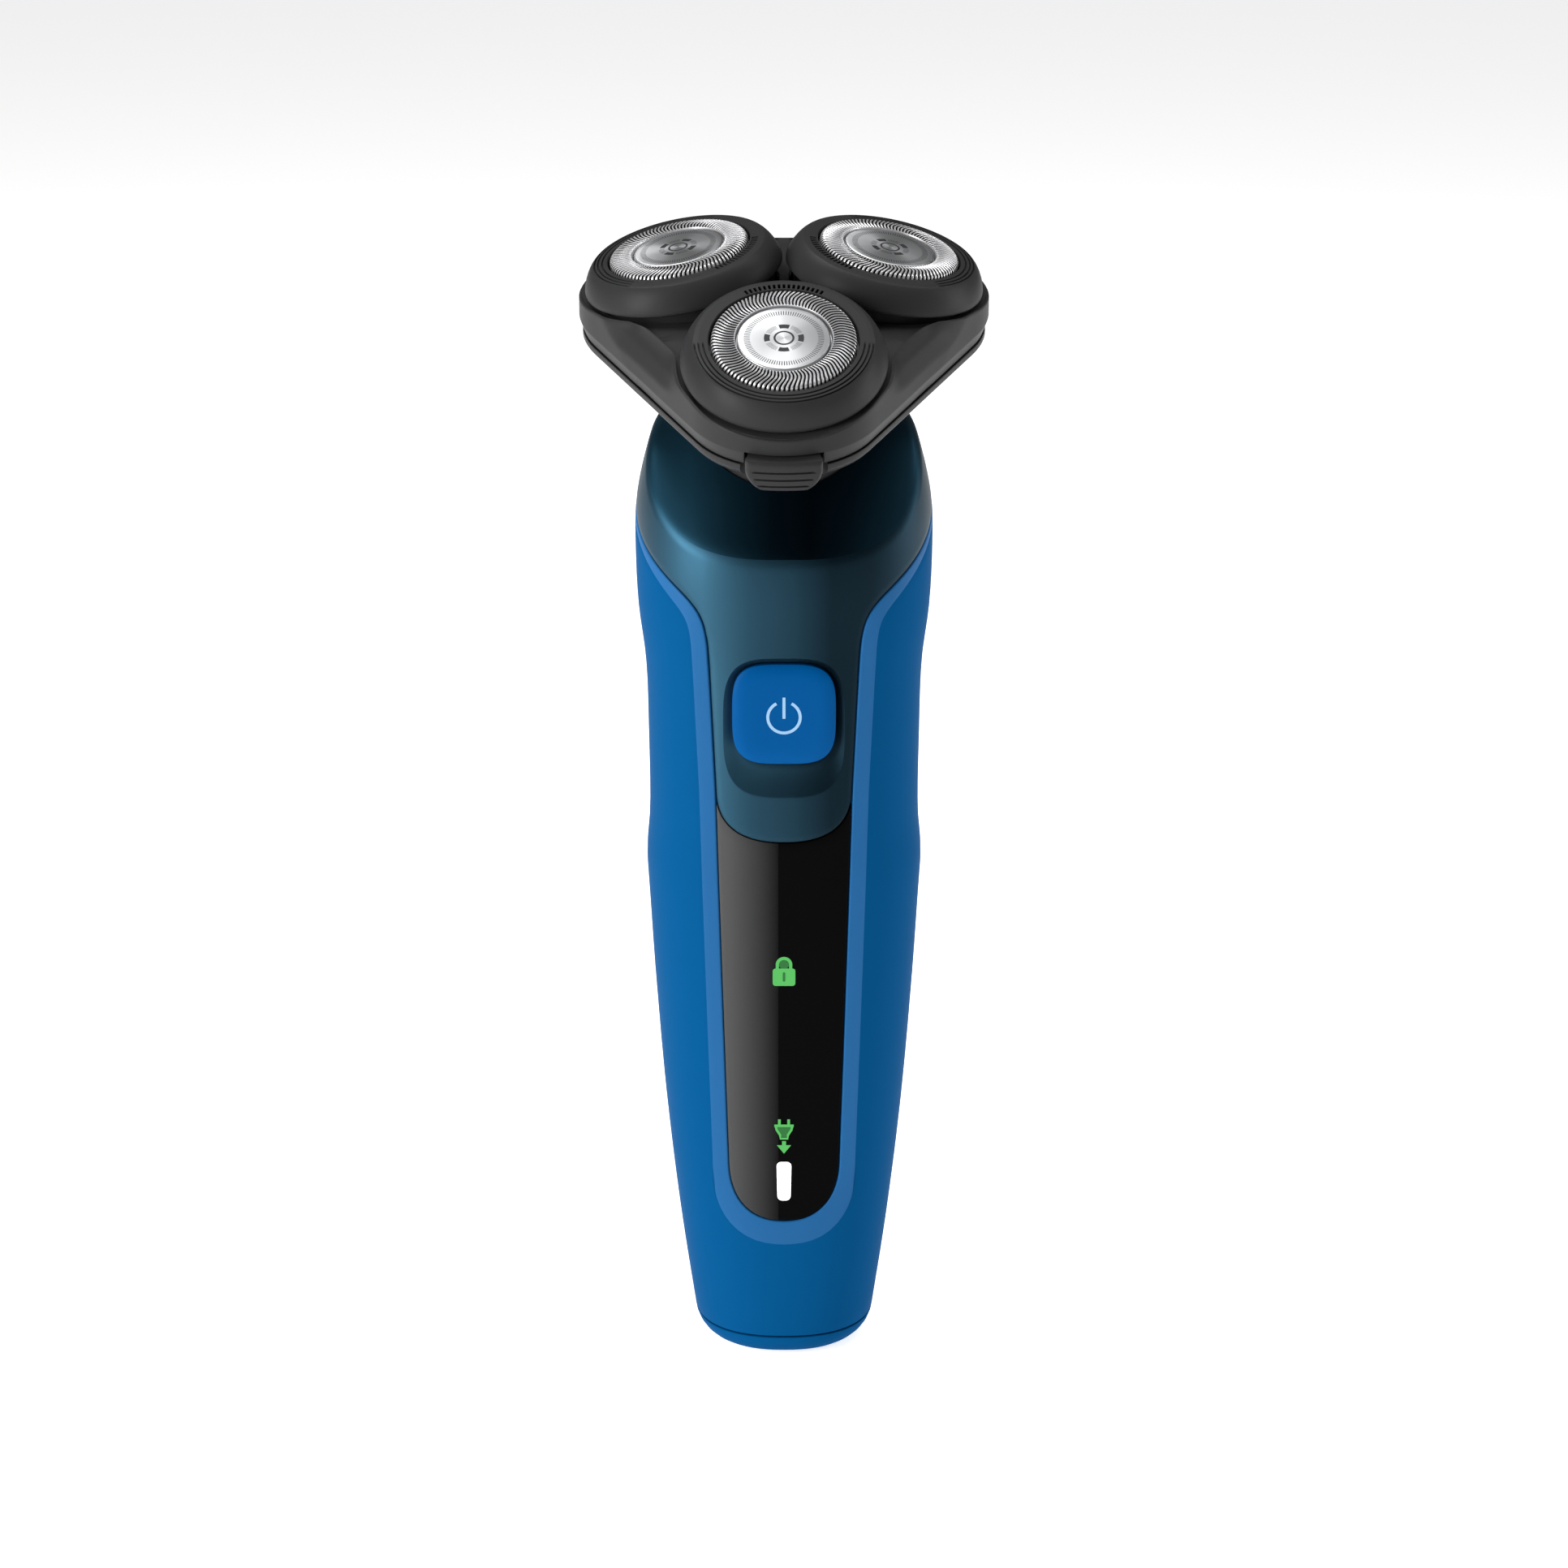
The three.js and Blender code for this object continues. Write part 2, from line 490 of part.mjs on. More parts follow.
// ---------- Shaving heads ----------
const headRing = () =>
  solid(turned([
    [10.8, -0.4], [12.2, -0.4], [13.6, -1.4], [RING_R, -4], [14.5, -4.6],
    [SKIRT_R, -4.6], [SKIRT_R, -7.4], [12.6, -7.4], [12.6, -2.9], [10.8, -2.4],
  ]));
const cap = () =>
  solid(turned([
    [0, -1], [7, -1], [7, 0], [9.9, 0], [CAP_R, -0.6], [CAP_R, -3.5], [12.2, -3.5], [12.2, -4.1],
    [9.9, -4.1], [9.9, -0.6], [7.5, -0.6], [7.5, -1.5], [0, -1.5],
  ]));
const capDisc = () => solid(turned([[0, -0.1], [DISC_R, -0.1], [DISC_R, -0.7], [0, -0.7]]));
const retainingRing = () =>
  cut(
    solid(turned([[4.4, -4.5], [12.3, -4.5], [12.3, -5.8], [4.4, -5.8]], INNER_ROUND)),
    ...[0, 1, 2].map((i) => {
      const slot = new THREE.Shape();
      slot.absarc(0, 0, 10.6, 0.25, 1.85, false);
      slot.absarc(0, 0, 6.2, 1.85, 0.25, true);
      return solid(prism(slot, -7, -4, 2).rotateZ((i * 2 * Math.PI) / 3));
    }),
  );
const cutter = () =>
  cut(
    unite(
      solid(turned([[0, -1.8], [4, -1.8], [4.4, -2.2], [9.3, -2.2], [9.3, -3.1], [3.6, -3.1], [3.6, -8], [0, -8]], INNER_ROUND)),
      ...Array.from({ length: BLADES }, (_, i) =>
        solid(box(7.7, 9.3, -0.3, 0.3, -2.4, -0.85).rotateZ((i * 2 * Math.PI) / BLADES))),
    ),
    solid(new THREE.CylinderGeometry(2.7, 2.7, 4, 6).rotateX(Math.PI / 2).translate(0, 0, -6.2)),
  );

// ---------- Shaving unit: hair chamber and gears ----------
// A spur gear outline with straight-sided teeth, thinned for backlash. phase is the bearing of one tooth.
function gearShape(phase) {
  const pitchR = (GEAR_MODULE * GEAR_TEETH) / 2;
  const step = (2 * Math.PI) / GEAR_TEETH;
  const root = pitchR - 1.15 * GEAR_MODULE;
  const tip = pitchR + 0.8 * GEAR_MODULE;
  const points = [];
  for (let i = 0; i < GEAR_TEETH; i++) {
    [[-0.3, root], [-0.1, tip], [0.1, tip], [0.3, root]].forEach(([share, r]) => {
      const a = phase + (i + share) * step;
      points.push(new THREE.Vector2(r * Math.cos(a), r * Math.sin(a)));
    });
  }
  return new THREE.Shape().setFromPoints(points);
}

// Each driven gear has a gap where the centre gear has a tooth, along the line between their axes.
function driveGearPhase(bearing) {
  const step = (2 * Math.PI) / GEAR_TEETH;
  const toothPast = THREE.MathUtils.euclideanModulo(-bearing, step);
  return bearing + Math.PI - toothPast + step / 2;
}

const driveGear = (bearing) =>
  unite(
    solid(prism(gearShape(driveGearPhase(bearing)), GEAR_TOP - GEAR_THICK, GEAR_TOP)),
    solid(cylinder(2.1, GEAR_TOP - 0.2, -10.4, 0, 0, INNER_ROUND)),
    solid(new THREE.CylinderGeometry(1.5, 1.5, 5, 6).rotateX(Math.PI / 2).translate(0, 0, SPINDLE_TOP - 2.5)),
  );
const centreGear = () =>
  cut(
    unite(
      solid(prism(gearShape(0), GEAR_TOP - GEAR_THICK, GEAR_TOP)),
      solid(cylinder(3.4, -21.6, GEAR_TOP - GEAR_THICK + 0.2, 0, 0, INNER_ROUND)),
    ),
    solid(new THREE.CylinderGeometry(2.3, 2.3, 5, 6).rotateX(Math.PI / 2).translate(0, 0, -20.2)),
  );

const gearCover = () =>
  cut(
    solid(triangleStack([[-13.5, FRAME_R - 4.2, HEAD_PITCH], [-12.3, FRAME_R - 4.2, HEAD_PITCH]])),
    ...HEAD_BEARINGS.map((bearing) => solid(cylinder(2.1 + GAP, -20, 0, ...spindleSpot(bearing), INNER_ROUND))),
    ...HEAD_BEARINGS.map((bearing) => solid(cylinder(0.75 + GAP, -20, 0, ...screwSpot(bearing), 8))),
  );
const screwSpot = (bearing) => [SCREW_PITCH * Math.cos(bearing + Math.PI), SCREW_PITCH * Math.sin(bearing + Math.PI)];
const coverScrew = (bearing) =>
  unite(
    solid(cylinder(1.4, -12, -11.2, ...screwSpot(bearing), 12)),
    solid(cylinder(0.75, -16.5, -11.9, ...screwSpot(bearing), 8)),
  );

const tabShape = (grow) => {
  const shape = new THREE.Shape();
  const half = TAB.half + grow;
  const halfLow = TAB.halfLow + grow;
  shape.moveTo(-half, TAB.top + grow);
  shape.lineTo(-half, TAB.top - 1.6);
  shape.quadraticCurveTo(-halfLow - 0.8, TAB.bottom - grow, -halfLow + 1, TAB.bottom - grow);
  shape.lineTo(halfLow - 1, TAB.bottom - grow);
  shape.quadraticCurveTo(halfLow + 0.8, TAB.bottom - grow, half, TAB.top - 1.6);
  shape.lineTo(half, TAB.top + grow);
  return shape;
};

const hairChamber = () => {
  const bowl = solid(triangleStack([
    [-19.2, 8.2, 14.6], [-18.2, 10.3, 16.4], [-16, 12.7, 17.6], [-13.8, 14.5, HEAD_PITCH], [FRAME_BOTTOM - GAP, 14.7, HEAD_PITCH],
  ]));
  const hollow = solid(triangleStack([
    [-17.4, 9.4, 16.4], [-15.6, 11.4, 17.6], [-13.7, 13.2, HEAD_PITCH], [-12, 13.4, HEAD_PITCH],
  ]));
  const knuckles = [-1, 1].map((side) => {
    const ends = [side * (HINGE.middle + GAP), side * HINGE.half].sort((a, b) => a - b);
    return unite(
      solid(crossBar(HINGE.knuckle, ...ends, HINGE.y, HINGE.z)),
      solid(box(...ends, HINGE.y - 3.2, HINGE.y, HINGE.z - 1.6, HINGE.z - 0.2)),
    );
  });
  const bosses = HEAD_BEARINGS.map((bearing) =>
    cut(solid(cylinder(2, -18, -13.8, ...screwSpot(bearing), 8)), solid(cylinder(0.75 + GAP, -17, 0, ...screwSpot(bearing), 8))));
  return cut(
    unite(
      cut(unite(bowl, solid(cylinder(10.5, -23.4, -18.5))), hollow, solid(cylinder(9, -24, -18.2))),
      solid(cylinder(5, -20.2, -17.2, 0, 0, INNER_ROUND)),
      ...bosses,
      ...knuckles,
    ),
    solid(cylinder(3.4 + GAP, -30, -15, 0, 0, INNER_ROUND)),
    solid(crossBar(HINGE.r + 0.15, -9, 9, HINGE.y, HINGE.z)),
    solid(box(-HINGE.middle - GAP, HINGE.middle + GAP, HINGE.y - 2.2, 40, -15.9, 0)),
    solid(frontPrism(tabShape(GAP), -40, TAB.back + 1.8)),
    solid(box(-2.6 - GAP, 2.6 + GAP, TAB.back, -26.5, -15.9, -13.9 + GAP)),
  );
};

const hingePin = () => solid(crossBar(HINGE.r, -HINGE.half, HINGE.half, HINGE.y, HINGE.z, 16));

const releaseButton = () =>
  unite(
    solid(frontPrism(tabShape(0), TAB.front, TAB.back)),
    solid(box(-2.6, 2.6, TAB.back - 0.5, -28.6, -15.6, -13.9)),
  );

// ---------- Assembly ----------
const FINISH = {
  grip: { color: 0x1c66b3, roughness: 0.5, metalness: 0 },
  shell: { color: 0x14303f, roughness: 0.35, metalness: 0.3 },
  window: { color: 0x0b0b0c, roughness: 0.12, metalness: 0 },
  frame: { color: 0x444446, roughness: 0.5, metalness: 0 },
  steel: { color: 0xc9cccd, roughness: 0.25, metalness: 1 },
  button: { color: 0x0456a6, roughness: 0.4, metalness: 0 },
  retainer: { color: 0x1d5fa8, roughness: 0.45, metalness: 0 },
  gear: { color: 0xd8d6cf, roughness: 0.5, metalness: 0 },
  inner: { color: 0x2a2b2d, roughness: 0.6, metalness: 0 },
  rubber: { color: 0x18191a, roughness: 0.8, metalness: 0 },
  board: { color: 0x14532d, roughness: 0.5, metalness: 0 },
  cell: { color: 0x3a7f5c, roughness: 0.4, metalness: 0 },
  brass: { color: 0xb89b4d, roughness: 0.3, metalness: 1 },
  guide: { color: 0xe9f1ec, roughness: 0.2, metalness: 0 },
};

const shaver = new THREE.Group();
const unit = new THREE.Group();
unit.position.copy(HEAD_CENTRE);
unit.rotation.x = HEAD_TILT;
shaver.add(unit);

function place(parent, name, made, finish) {
  const mesh = new THREE.Mesh(geometryOf(made), new THREE.MeshStandardMaterial(FINISH[finish]));
  mesh.name = name;
  parent.add(mesh);
  return mesh;
}

place(shaver, "grip_shell", gripShell(), "grip");
place(shaver, "front_shell", frontShell(), "shell");
place(shaver, "display_window", displayWindow(), "window");
place(shaver, "base_cap", baseCap(), "grip");
place(shaver, "base_seal", baseSeal(), "rubber");
place(shaver, "power_button", powerButton(), "button");
place(shaver, "chassis", chassis(), "inner");
place(shaver, "circuit_board", circuitBoard(), "board");
place(shaver, "power_switch", powerSwitch(), "inner");
place(shaver, "lock_light_guide", lightGuide(2.2, 64.2, 69.8), "guide");
place(shaver, "plug_light_guide", lightGuide(2, 35.8, 42.6), "guide");
place(shaver, "battery_light_guide", lightGuide(1.4, 27.8, 34.9), "guide");
place(shaver, "battery_cell", batteryCell(), "cell");
place(shaver, "battery_contact_top", batteryContact(BATTERY.top + GAP, BATTERY.top + 0.9), "brass");
place(shaver, "battery_contact_bottom", batteryContact(BATTERY.bottom - 0.9, BATTERY.bottom - GAP), "brass");
place(shaver, "charge_socket", chargeSocket(), "inner");
place(shaver, "socket_pin_left", socketPin(-1), "brass");
place(shaver, "socket_pin_right", socketPin(1), "brass");

place(unit, "motor_can", motorCan(), "steel");
place(unit, "motor_end_cap", motorEndCap(), "inner");
place(unit, "motor_shaft", motorShaft(), "steel");
place(unit, "neck_collar", neckCollar(), "inner");
place(unit, "shaft_seal", shaftSeal(), "rubber");
place(unit, "motor_screw_left", motorScrew(-1), "steel");
place(unit, "motor_screw_right", motorScrew(1), "steel");

place(unit, "hair_chamber", hairChamber(), "frame");
place(unit, "gear_cover", gearCover(), "inner");
place(unit, "centre_gear", centreGear(), "gear");
place(unit, "hinge_pin", hingePin(), "steel");
place(unit, "release_button", releaseButton(), "frame");
place(unit, "head_frame", headFrame(), "frame");

HEAD_BEARINGS.forEach((bearing, i) => {
  const number = i + 1;
  const gear = place(unit, `drive_gear_${number}`, driveGear(bearing), "gear");
  gear.position.set(...spindleSpot(bearing), 0);
  place(unit, `cover_screw_${number}`, coverScrew(bearing), "steel");

  const station = new THREE.Group();
  station.rotation.z = bearing;
  unit.add(station);
  const head = new THREE.Group();
  head.position.x = HEAD_PITCH;
  head.rotation.y = HEAD_LEAN;
  station.add(head);
  place(head, `head_ring_${number}`, headRing(), "frame");
  place(head, `cap_${number}`, cap(), "steel");
  place(head, `cap_disc_${number}`, capDisc(), "steel");
  place(head, `retaining_ring_${number}`, retainingRing(), "retainer");
  place(head, `cutter_${number}`, cutter(), "steel");
});

export default shaver;
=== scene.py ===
import math

import bmesh
import bpy
import numpy as np
from mathutils import Matrix, Vector


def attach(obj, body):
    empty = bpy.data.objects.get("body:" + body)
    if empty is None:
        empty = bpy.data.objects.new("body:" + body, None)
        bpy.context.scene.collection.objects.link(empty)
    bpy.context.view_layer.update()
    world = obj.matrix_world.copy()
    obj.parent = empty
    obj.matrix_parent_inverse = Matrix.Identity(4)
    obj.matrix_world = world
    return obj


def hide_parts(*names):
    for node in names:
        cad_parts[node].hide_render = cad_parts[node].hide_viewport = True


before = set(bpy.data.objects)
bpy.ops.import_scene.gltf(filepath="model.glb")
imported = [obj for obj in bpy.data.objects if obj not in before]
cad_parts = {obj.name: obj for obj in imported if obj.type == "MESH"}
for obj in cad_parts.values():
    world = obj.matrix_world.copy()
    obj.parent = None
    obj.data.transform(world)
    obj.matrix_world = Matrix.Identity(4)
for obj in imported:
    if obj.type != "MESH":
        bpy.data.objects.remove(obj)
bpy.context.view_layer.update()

# Shapes are worked out in millimetres: +Z up the handle, -Y the front. MM turns them into metres.
MM = 0.001
TAU = 2 * math.pi

# ---------- Driving dimensions, as the CAD part has them ----------
SHOULDER_CROWN = 0.01
SECTION_POWER = 2.35
FOOT_ROUND = 4
SHELL = 1.5  # thickness of the handle's shells
RECESS = 0.5  # the panels lie this far under the grip
SEAM = 0.12  # visible gap between shells
EDGE = 0.22  # small round on each shell's edge
CAP_LINE = 3.9
COLLAR_LINE = 141

BUTTON_Z, BUTTON_SIZE, BUTTON_BACK, BUTTON_POWER = 107.95, 15.5, 14.9, 3.6
SCOOP_WIDE, SCOOP_LOW, SCOOP_HIGH, SCOOP_DEPTH = 18.7, 95.1, 116.9, 1.2
PATCH_LINE = 120  # where the button's patch of the front shell meets the shoulders' patch

HEAD_TILT = math.radians(18.2)
HEAD_CENTRE = (0, -8, 172.2)
HEAD_PITCH = 18.2
HEAD_LEAN = math.radians(12.4)
LEAN_COS, LEAN_SIN = math.cos(HEAD_LEAN), math.sin(HEAD_LEAN)
HEAD_BEARINGS = [math.radians(a) for a in (-90, 30, 150)]
NECK_HOLE = 13.3


# ---------- Small tools ----------
def smooth(keys):
    """A smooth curve through (position, value) pairs, cubic between neighbours."""
    x = np.array([k[0] for k in keys], float)
    v = np.array([k[1] for k in keys], float)
    before = np.maximum(np.arange(len(x)) - 1, 0)
    after = np.minimum(np.arange(len(x)) + 1, len(x) - 1)
    slope = (v[after] - v[before]) / (x[after] - x[before])

    def at(where):
        where = np.clip(np.asarray(where, float), x[0], x[-1])
        i = np.clip(np.searchsorted(x, where) - 1, 0, len(x) - 2)
        span = x[i + 1] - x[i]
        t = (where - x[i]) / span
        rise = 3 * t**2 - 2 * t**3
        leave = t * (1 - t) ** 2 * span * slope[i]
        arrive = t * t * (t - 1) * span * slope[i + 1]
        return v[i] * (1 - rise) + v[i + 1] * rise + leave + arrive

    return at


def ease(low, high, x):
    t = np.clip((np.asarray(x, float) - low) / (high - low), 0, 1)
    return t * t * (3 - 2 * t)


def bezier(p0, p1, p2, p3, count):
    t = np.linspace(0, 1, count)[:, None]
    p0, p1, p2, p3 = (np.array(p, float) for p in (p0, p1, p2, p3))
    return (1 - t) ** 3 * p0 + 3 * t * (1 - t) ** 2 * p1 + 3 * t * t * (1 - t) * p2 + t**3 * p3


def line(p0, p1, count):
    t = np.linspace(0, 1, count)[:, None]
    return np.array(p0, float) * (1 - t) + np.array(p1, float) * t


def join(*pieces):
    """Stretches of a line end to end, each one's last point being the next one's first."""
    return np.concatenate([pieces[0]] + [p[1:] for p in pieces[1:]])


def respace(points, count):
    """The same line with evenly spaced points."""
    length = np.concatenate([[0], np.cumsum(np.linalg.norm(np.diff(points, axis=0), axis=1))])
    at = np.linspace(0, 1, count) * length[-1]
    return np.stack([np.interp(at, length, points[:, k]) for k in range(points.shape[1])], axis=1)


class Skin:
    """Grids of points that make one mesh. Points that fall together are welded, and faces turn outwards."""

    def __init__(self):
        self.points, self.faces, self.inks = [], [], []
        self.count = 0

    def grid(self, rows, wrap=False, ink=0):
        rows = np.asarray(rows, float)
        r, c = rows.shape[:2]
        at = self.count + np.arange(r * c).reshape(r, c)
        self.points.append(rows.reshape(-1, 3))
        self.count += r * c
        right = np.roll(at, -1, axis=1) if wrap else at[:, 1:]
        left = at if wrap else at[:, :-1]
        quads = np.stack([left[:-1], right[:-1], right[1:], left[1:]], axis=-1).reshape(-1, 4)
        self.faces += quads.tolist()
        self.inks += (np.broadcast_to(ink, (r - 1, left.shape[1])).reshape(-1)).tolist()
        return self

    def mirrored(self):
        """Adds the other side of the YZ plane."""
        for points in list(self.points):
            self.points.append(points * (-1, 1, 1))
        start = self.count
        self.faces += [[i + start for i in reversed(f)] for f in self.faces]
        self.inks += list(self.inks)
        self.count *= 2
        return self

    def joined(self, outer, inner, ends=False):
        """Strips between two sheets, at their first and last rows, and at their rows' ends if asked."""
        self.grid([outer[0], inner[0]]).grid([outer[-1], inner[-1]])
        for end in (0, -1) if ends else ():
            self.grid([[r[end] for r in outer], [r[end] for r in inner]])
        return self

    def piece(self, name, body, materials, sharp=32, place=None, stands_for=None, weld=0.002):
        """Makes the mesh, smooth up to an angle, on a CAD body and in place of a CAD node."""
        mesh = bpy.data.meshes.new(name)
        mesh.from_pydata((np.concatenate(self.points) * MM).tolist(), [], self.faces)
        mesh.polygons.foreach_set("material_index", self.inks)
        shape = bmesh.new()
        shape.from_mesh(mesh)
        bmesh.ops.remove_doubles(shape, verts=shape.verts, dist=weld * MM)
        bmesh.ops.dissolve_degenerate(shape, edges=shape.edges, dist=weld * MM * 0.5)
        bmesh.ops.recalc_face_normals(shape, faces=shape.faces)
        shape.to_mesh(mesh)
        shape.free()
        for finish in materials if isinstance(materials, (list, tuple)) else [materials]:
            mesh.materials.append(finish)
        mesh.shade_smooth()
        mesh.set_sharp_from_angle(angle=math.radians(sharp))
        if place is not None:
            mesh.transform(place)
        thing = bpy.data.objects.new(name, mesh)
        bpy.context.scene.collection.objects.link(thing)
        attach(thing, body)
        if stands_for:
            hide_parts(stands_for)


# ---------- Materials ----------
def fill(node, values):
    """Sets a node's inputs by name."""
    for name, value in values.items():
        node.inputs[name].default_value = value
    return node


def material(
    name, color, roughness=0.5, metallic=0.0, specular=0.5, grain=0.0, grain_size=0.2, bump=0.0,
    stretch=(1, 1, 1), emission=None, strength=1.0,
):
    """A Principled material whose roughness varies by grain, a share, over grain_size millimetres."""
    made = bpy.data.materials.new(name)
    made.use_nodes = True
    nodes, links = made.node_tree.nodes, made.node_tree.links
    shader = fill(nodes["Principled BSDF"], {"Base Color": (*color, 1), "Roughness": roughness})
    fill(shader, {"Metallic": metallic, "Specular IOR Level": specular})
    if emission:
        fill(shader, {"Emission Color": (*emission, 1), "Emission Strength": strength})
    where = nodes.new("ShaderNodeTexCoord")
    size = fill(nodes.new("ShaderNodeMapping"), {"Scale": [s / (grain_size * MM) for s in stretch]})
    noise = fill(nodes.new("ShaderNodeTexNoise"), {"Scale": 1, "Detail": 3})
    links.new(where.outputs["Object"], size.inputs["Vector"])
    links.new(size.outputs["Vector"], noise.inputs["Vector"])
    if grain:
        spread = fill(nodes.new("ShaderNodeMapRange"), {"From Min": 0.25, "From Max": 0.75})
        fill(spread, {"To Min": roughness * (1 - grain), "To Max": min(1, roughness * (1 + grain))})
        links.new(noise.outputs["Fac"], spread.inputs["Value"])
        links.new(spread.outputs["Result"], shader.inputs["Roughness"])
    if bump:
        raised = fill(nodes.new("ShaderNodeBump"), {"Strength": bump, "Distance": 0.05 * MM})
        links.new(noise.outputs["Fac"], raised.inputs["Height"])
        links.new(raised.outputs["Normal"], shader.inputs["Normal"])
    return made


def across(finish, stops, tint):
    """Paints light and shade into a material's colour across the handle: (X in millimetres, brightness)
    stops, times a tint.
    """
    nodes, links = finish.node_tree.nodes, finish.node_tree.links
    where, split = nodes.new("ShaderNodeTexCoord"), nodes.new("ShaderNodeSeparateXYZ")
    low, high = stops[0][0], stops[-1][0]
    span = fill(nodes.new("ShaderNodeMapRange"), {"From Min": low * MM, "From Max": high * MM})
    ramp = nodes.new("ShaderNodeValToRGB")
    links.new(where.outputs["Object"], split.inputs["Vector"])
    links.new(split.outputs["X"], span.inputs["Value"])
    links.new(span.outputs["Result"], ramp.inputs["Fac"])
    while len(ramp.color_ramp.elements) < len(stops):
        ramp.color_ramp.elements.new(0.5)
    for element, (x, bright) in zip(ramp.color_ramp.elements, stops):
        element.position = (x - low) / (high - low)
        element.color = (*(bright * c for c in tint), 1)
    links.new(ramp.outputs["Color"], nodes["Principled BSDF"].inputs["Base Color"])


SATIN = {"grain": 0.12, "grain_size": 0.08}
PAINT = {"metallic": 0.8, "grain": 0.15, "grain_size": 0.06, "bump": 0.08}
FRONT_TINT = (0.01, 0.032, 0.05)
SHOULDER_TINT = (0.008, 0.032, 0.052)
# Painted highlight: the bevel round the panels is a lighter copy of the grip's blue, for the light falling
# on it.
BEVEL_HIGHLIGHT = material("blue_bevel_painted_highlight", (0.011, 0.094, 0.25), 0.46, specular=0.08, bump=0.1, **SATIN)
BLUE = material("blue_shell", (0.001, 0.064, 0.185), 0.55, specular=0.008, bump=0.12, **SATIN)
BUTTON = material("button_blue", (0.0, 0.066, 0.225), 0.4, specular=0.03, bump=0.1, **SATIN)
NAVY = material("front_shell", FRONT_TINT, 0.46, specular=0.1, **PAINT)
# Painted light: the front shell's colour is lighter on the left as a painted highlight and darker right of
# the middle as painted shade.
across(NAVY, [(-22, 1.5), (-12, 2.4), (-5, 1.45), (1, 1.05), (7, 0.4), (13, 0.4), (22, 1.0)], FRONT_TINT)
# Painted shade and reflection: a darker copy of the front shell's paint, near black in the middle as a
# painted reflection of the dark head above, lighter at both sides as painted highlights.
SHOULDER = material("shoulder_painted_shade", SHOULDER_TINT, 0.42, specular=0.06, **PAINT)
across(
    SHOULDER,
    [(-22, 1.5), (-14, 1.7), (-8, 0.85), (-2, 0.3), (4, 0.15), (10, 0.35), (16, 0.8), (22, 1.1)],
    SHOULDER_TINT,
)
BLACK = material("display_window", (0.001, 0.001, 0.001), 0.06, specular=0.02, grain=0.1, grain_size=3)
# Painted reflection: the window's left half is painted grey, fading towards the middle and cut off there at
# a hard edge, for the floor's reflection; the right half stays black.
across(
    BLACK,
    [(-10.5, 0.07), (-8, 0.058), (-3.5, 0.026), (-0.9, 0.006), (-0.85, 0.001), (11, 0.001)],
    (1, 1, 1),
)
SYMBOL = material("symbol_paint", (0.24, 0.42, 0.62), 0.45, grain=0.1)
GREY = material(
    "frame_grey", (0.022, 0.022, 0.0228), 0.44, specular=0.1, grain=0.15, grain_size=0.07, bump=0.15
)
# Dark plastic of the inner parts; on the grip's inside sheet it is painted shade.
DARK = material("inner_plastic", (0.018, 0.018, 0.02), 0.5, grain=0.15)
RUBBER = material("seal_rubber", (0.015, 0.015, 0.015), 0.75, grain=0.1, bump=0.2)
RETAINER = material("retainer_blue", (0.01, 0.12, 0.45), 0.42, grain=0.1)
GEAR = material("gear_white", (0.62, 0.6, 0.54), 0.42, grain=0.12, bump=0.05)
BOARD = material("board", (0.008, 0.09, 0.035), 0.4, grain=0.25, grain_size=0.6)
CELL = material("cell", (0.03, 0.25, 0.14), 0.35, grain=0.1, grain_size=1.5)
BRASS = material("brass", (0.62, 0.45, 0.17), 0.28, metallic=1, grain=0.2)
STEEL = material(
    "steel", (0.55, 0.56, 0.57), 0.3, metallic=1, grain=0.25, grain_size=0.3, stretch=(1, 1, 0.1)
)
CAP = material("cap_steel", (0.52, 0.52, 0.53), 0.38, metallic=0.6, grain=0.1)
SLOT = material("slot_shadow", (0.012, 0.012, 0.013), 0.6, grain=0.1)
LIT_GREEN = material("lit_green", (0.02, 0.1, 0.025), specular=0.1, grain=0.05, emission=(0.08, 0.40, 0.09))
DIM_GREEN = material("dim_green", (0.01, 0.05, 0.012), specular=0.1, grain=0.05, emission=(0.02, 0.12, 0.03))
LIT_WHITE = material("lit_white", (0.8, 0.8, 0.8), 0.4, grain=0.05, emission=(1, 1, 1), strength=1.1)


# ---------- The handle's surface ----------
# (height, size) pairs of the handle, and (y, height) pairs of its slanted shoulder face
half_width = smooth([
    (0, 13.7), (20, 16.5), (40, 18.65), (60, 20.15), (74, 20.95), (81.5, 21.3), (88, 20.8), (100, 20.85),
    (112, 21.15), (121, 22.2), (130, 22.55), (137, 22.35), (144, 20.95), (150, 18.9), (160, 13),
])
front_depth = smooth([
    (0, 14.6), (20, 16), (40, 17.2), (60, 18.2), (80, 18.6), (120, 19), (132, 19.2), (145, 18), (160, 14),
])
back_depth = smooth([
    (0, 13.6), (20, 16), (40, 17.6), (60, 18.4), (80, 18.4), (100, 18.8), (120, 20.3),
    (135, 20.6), (160, 15),
])
shoulder_rise = smooth([
    (-20, 131), (-15, 137.3), (-10, 143.5), (-5, 148.6), (0, 151.8), (7, 154), (14, 154), (22, 150.5),
])


def foot_round(z):
    z = np.clip(z, 0, FOOT_ROUND)
    return FOOT_ROUND - np.sqrt(FOOT_ROUND**2 - (FOOT_ROUND - z) ** 2)


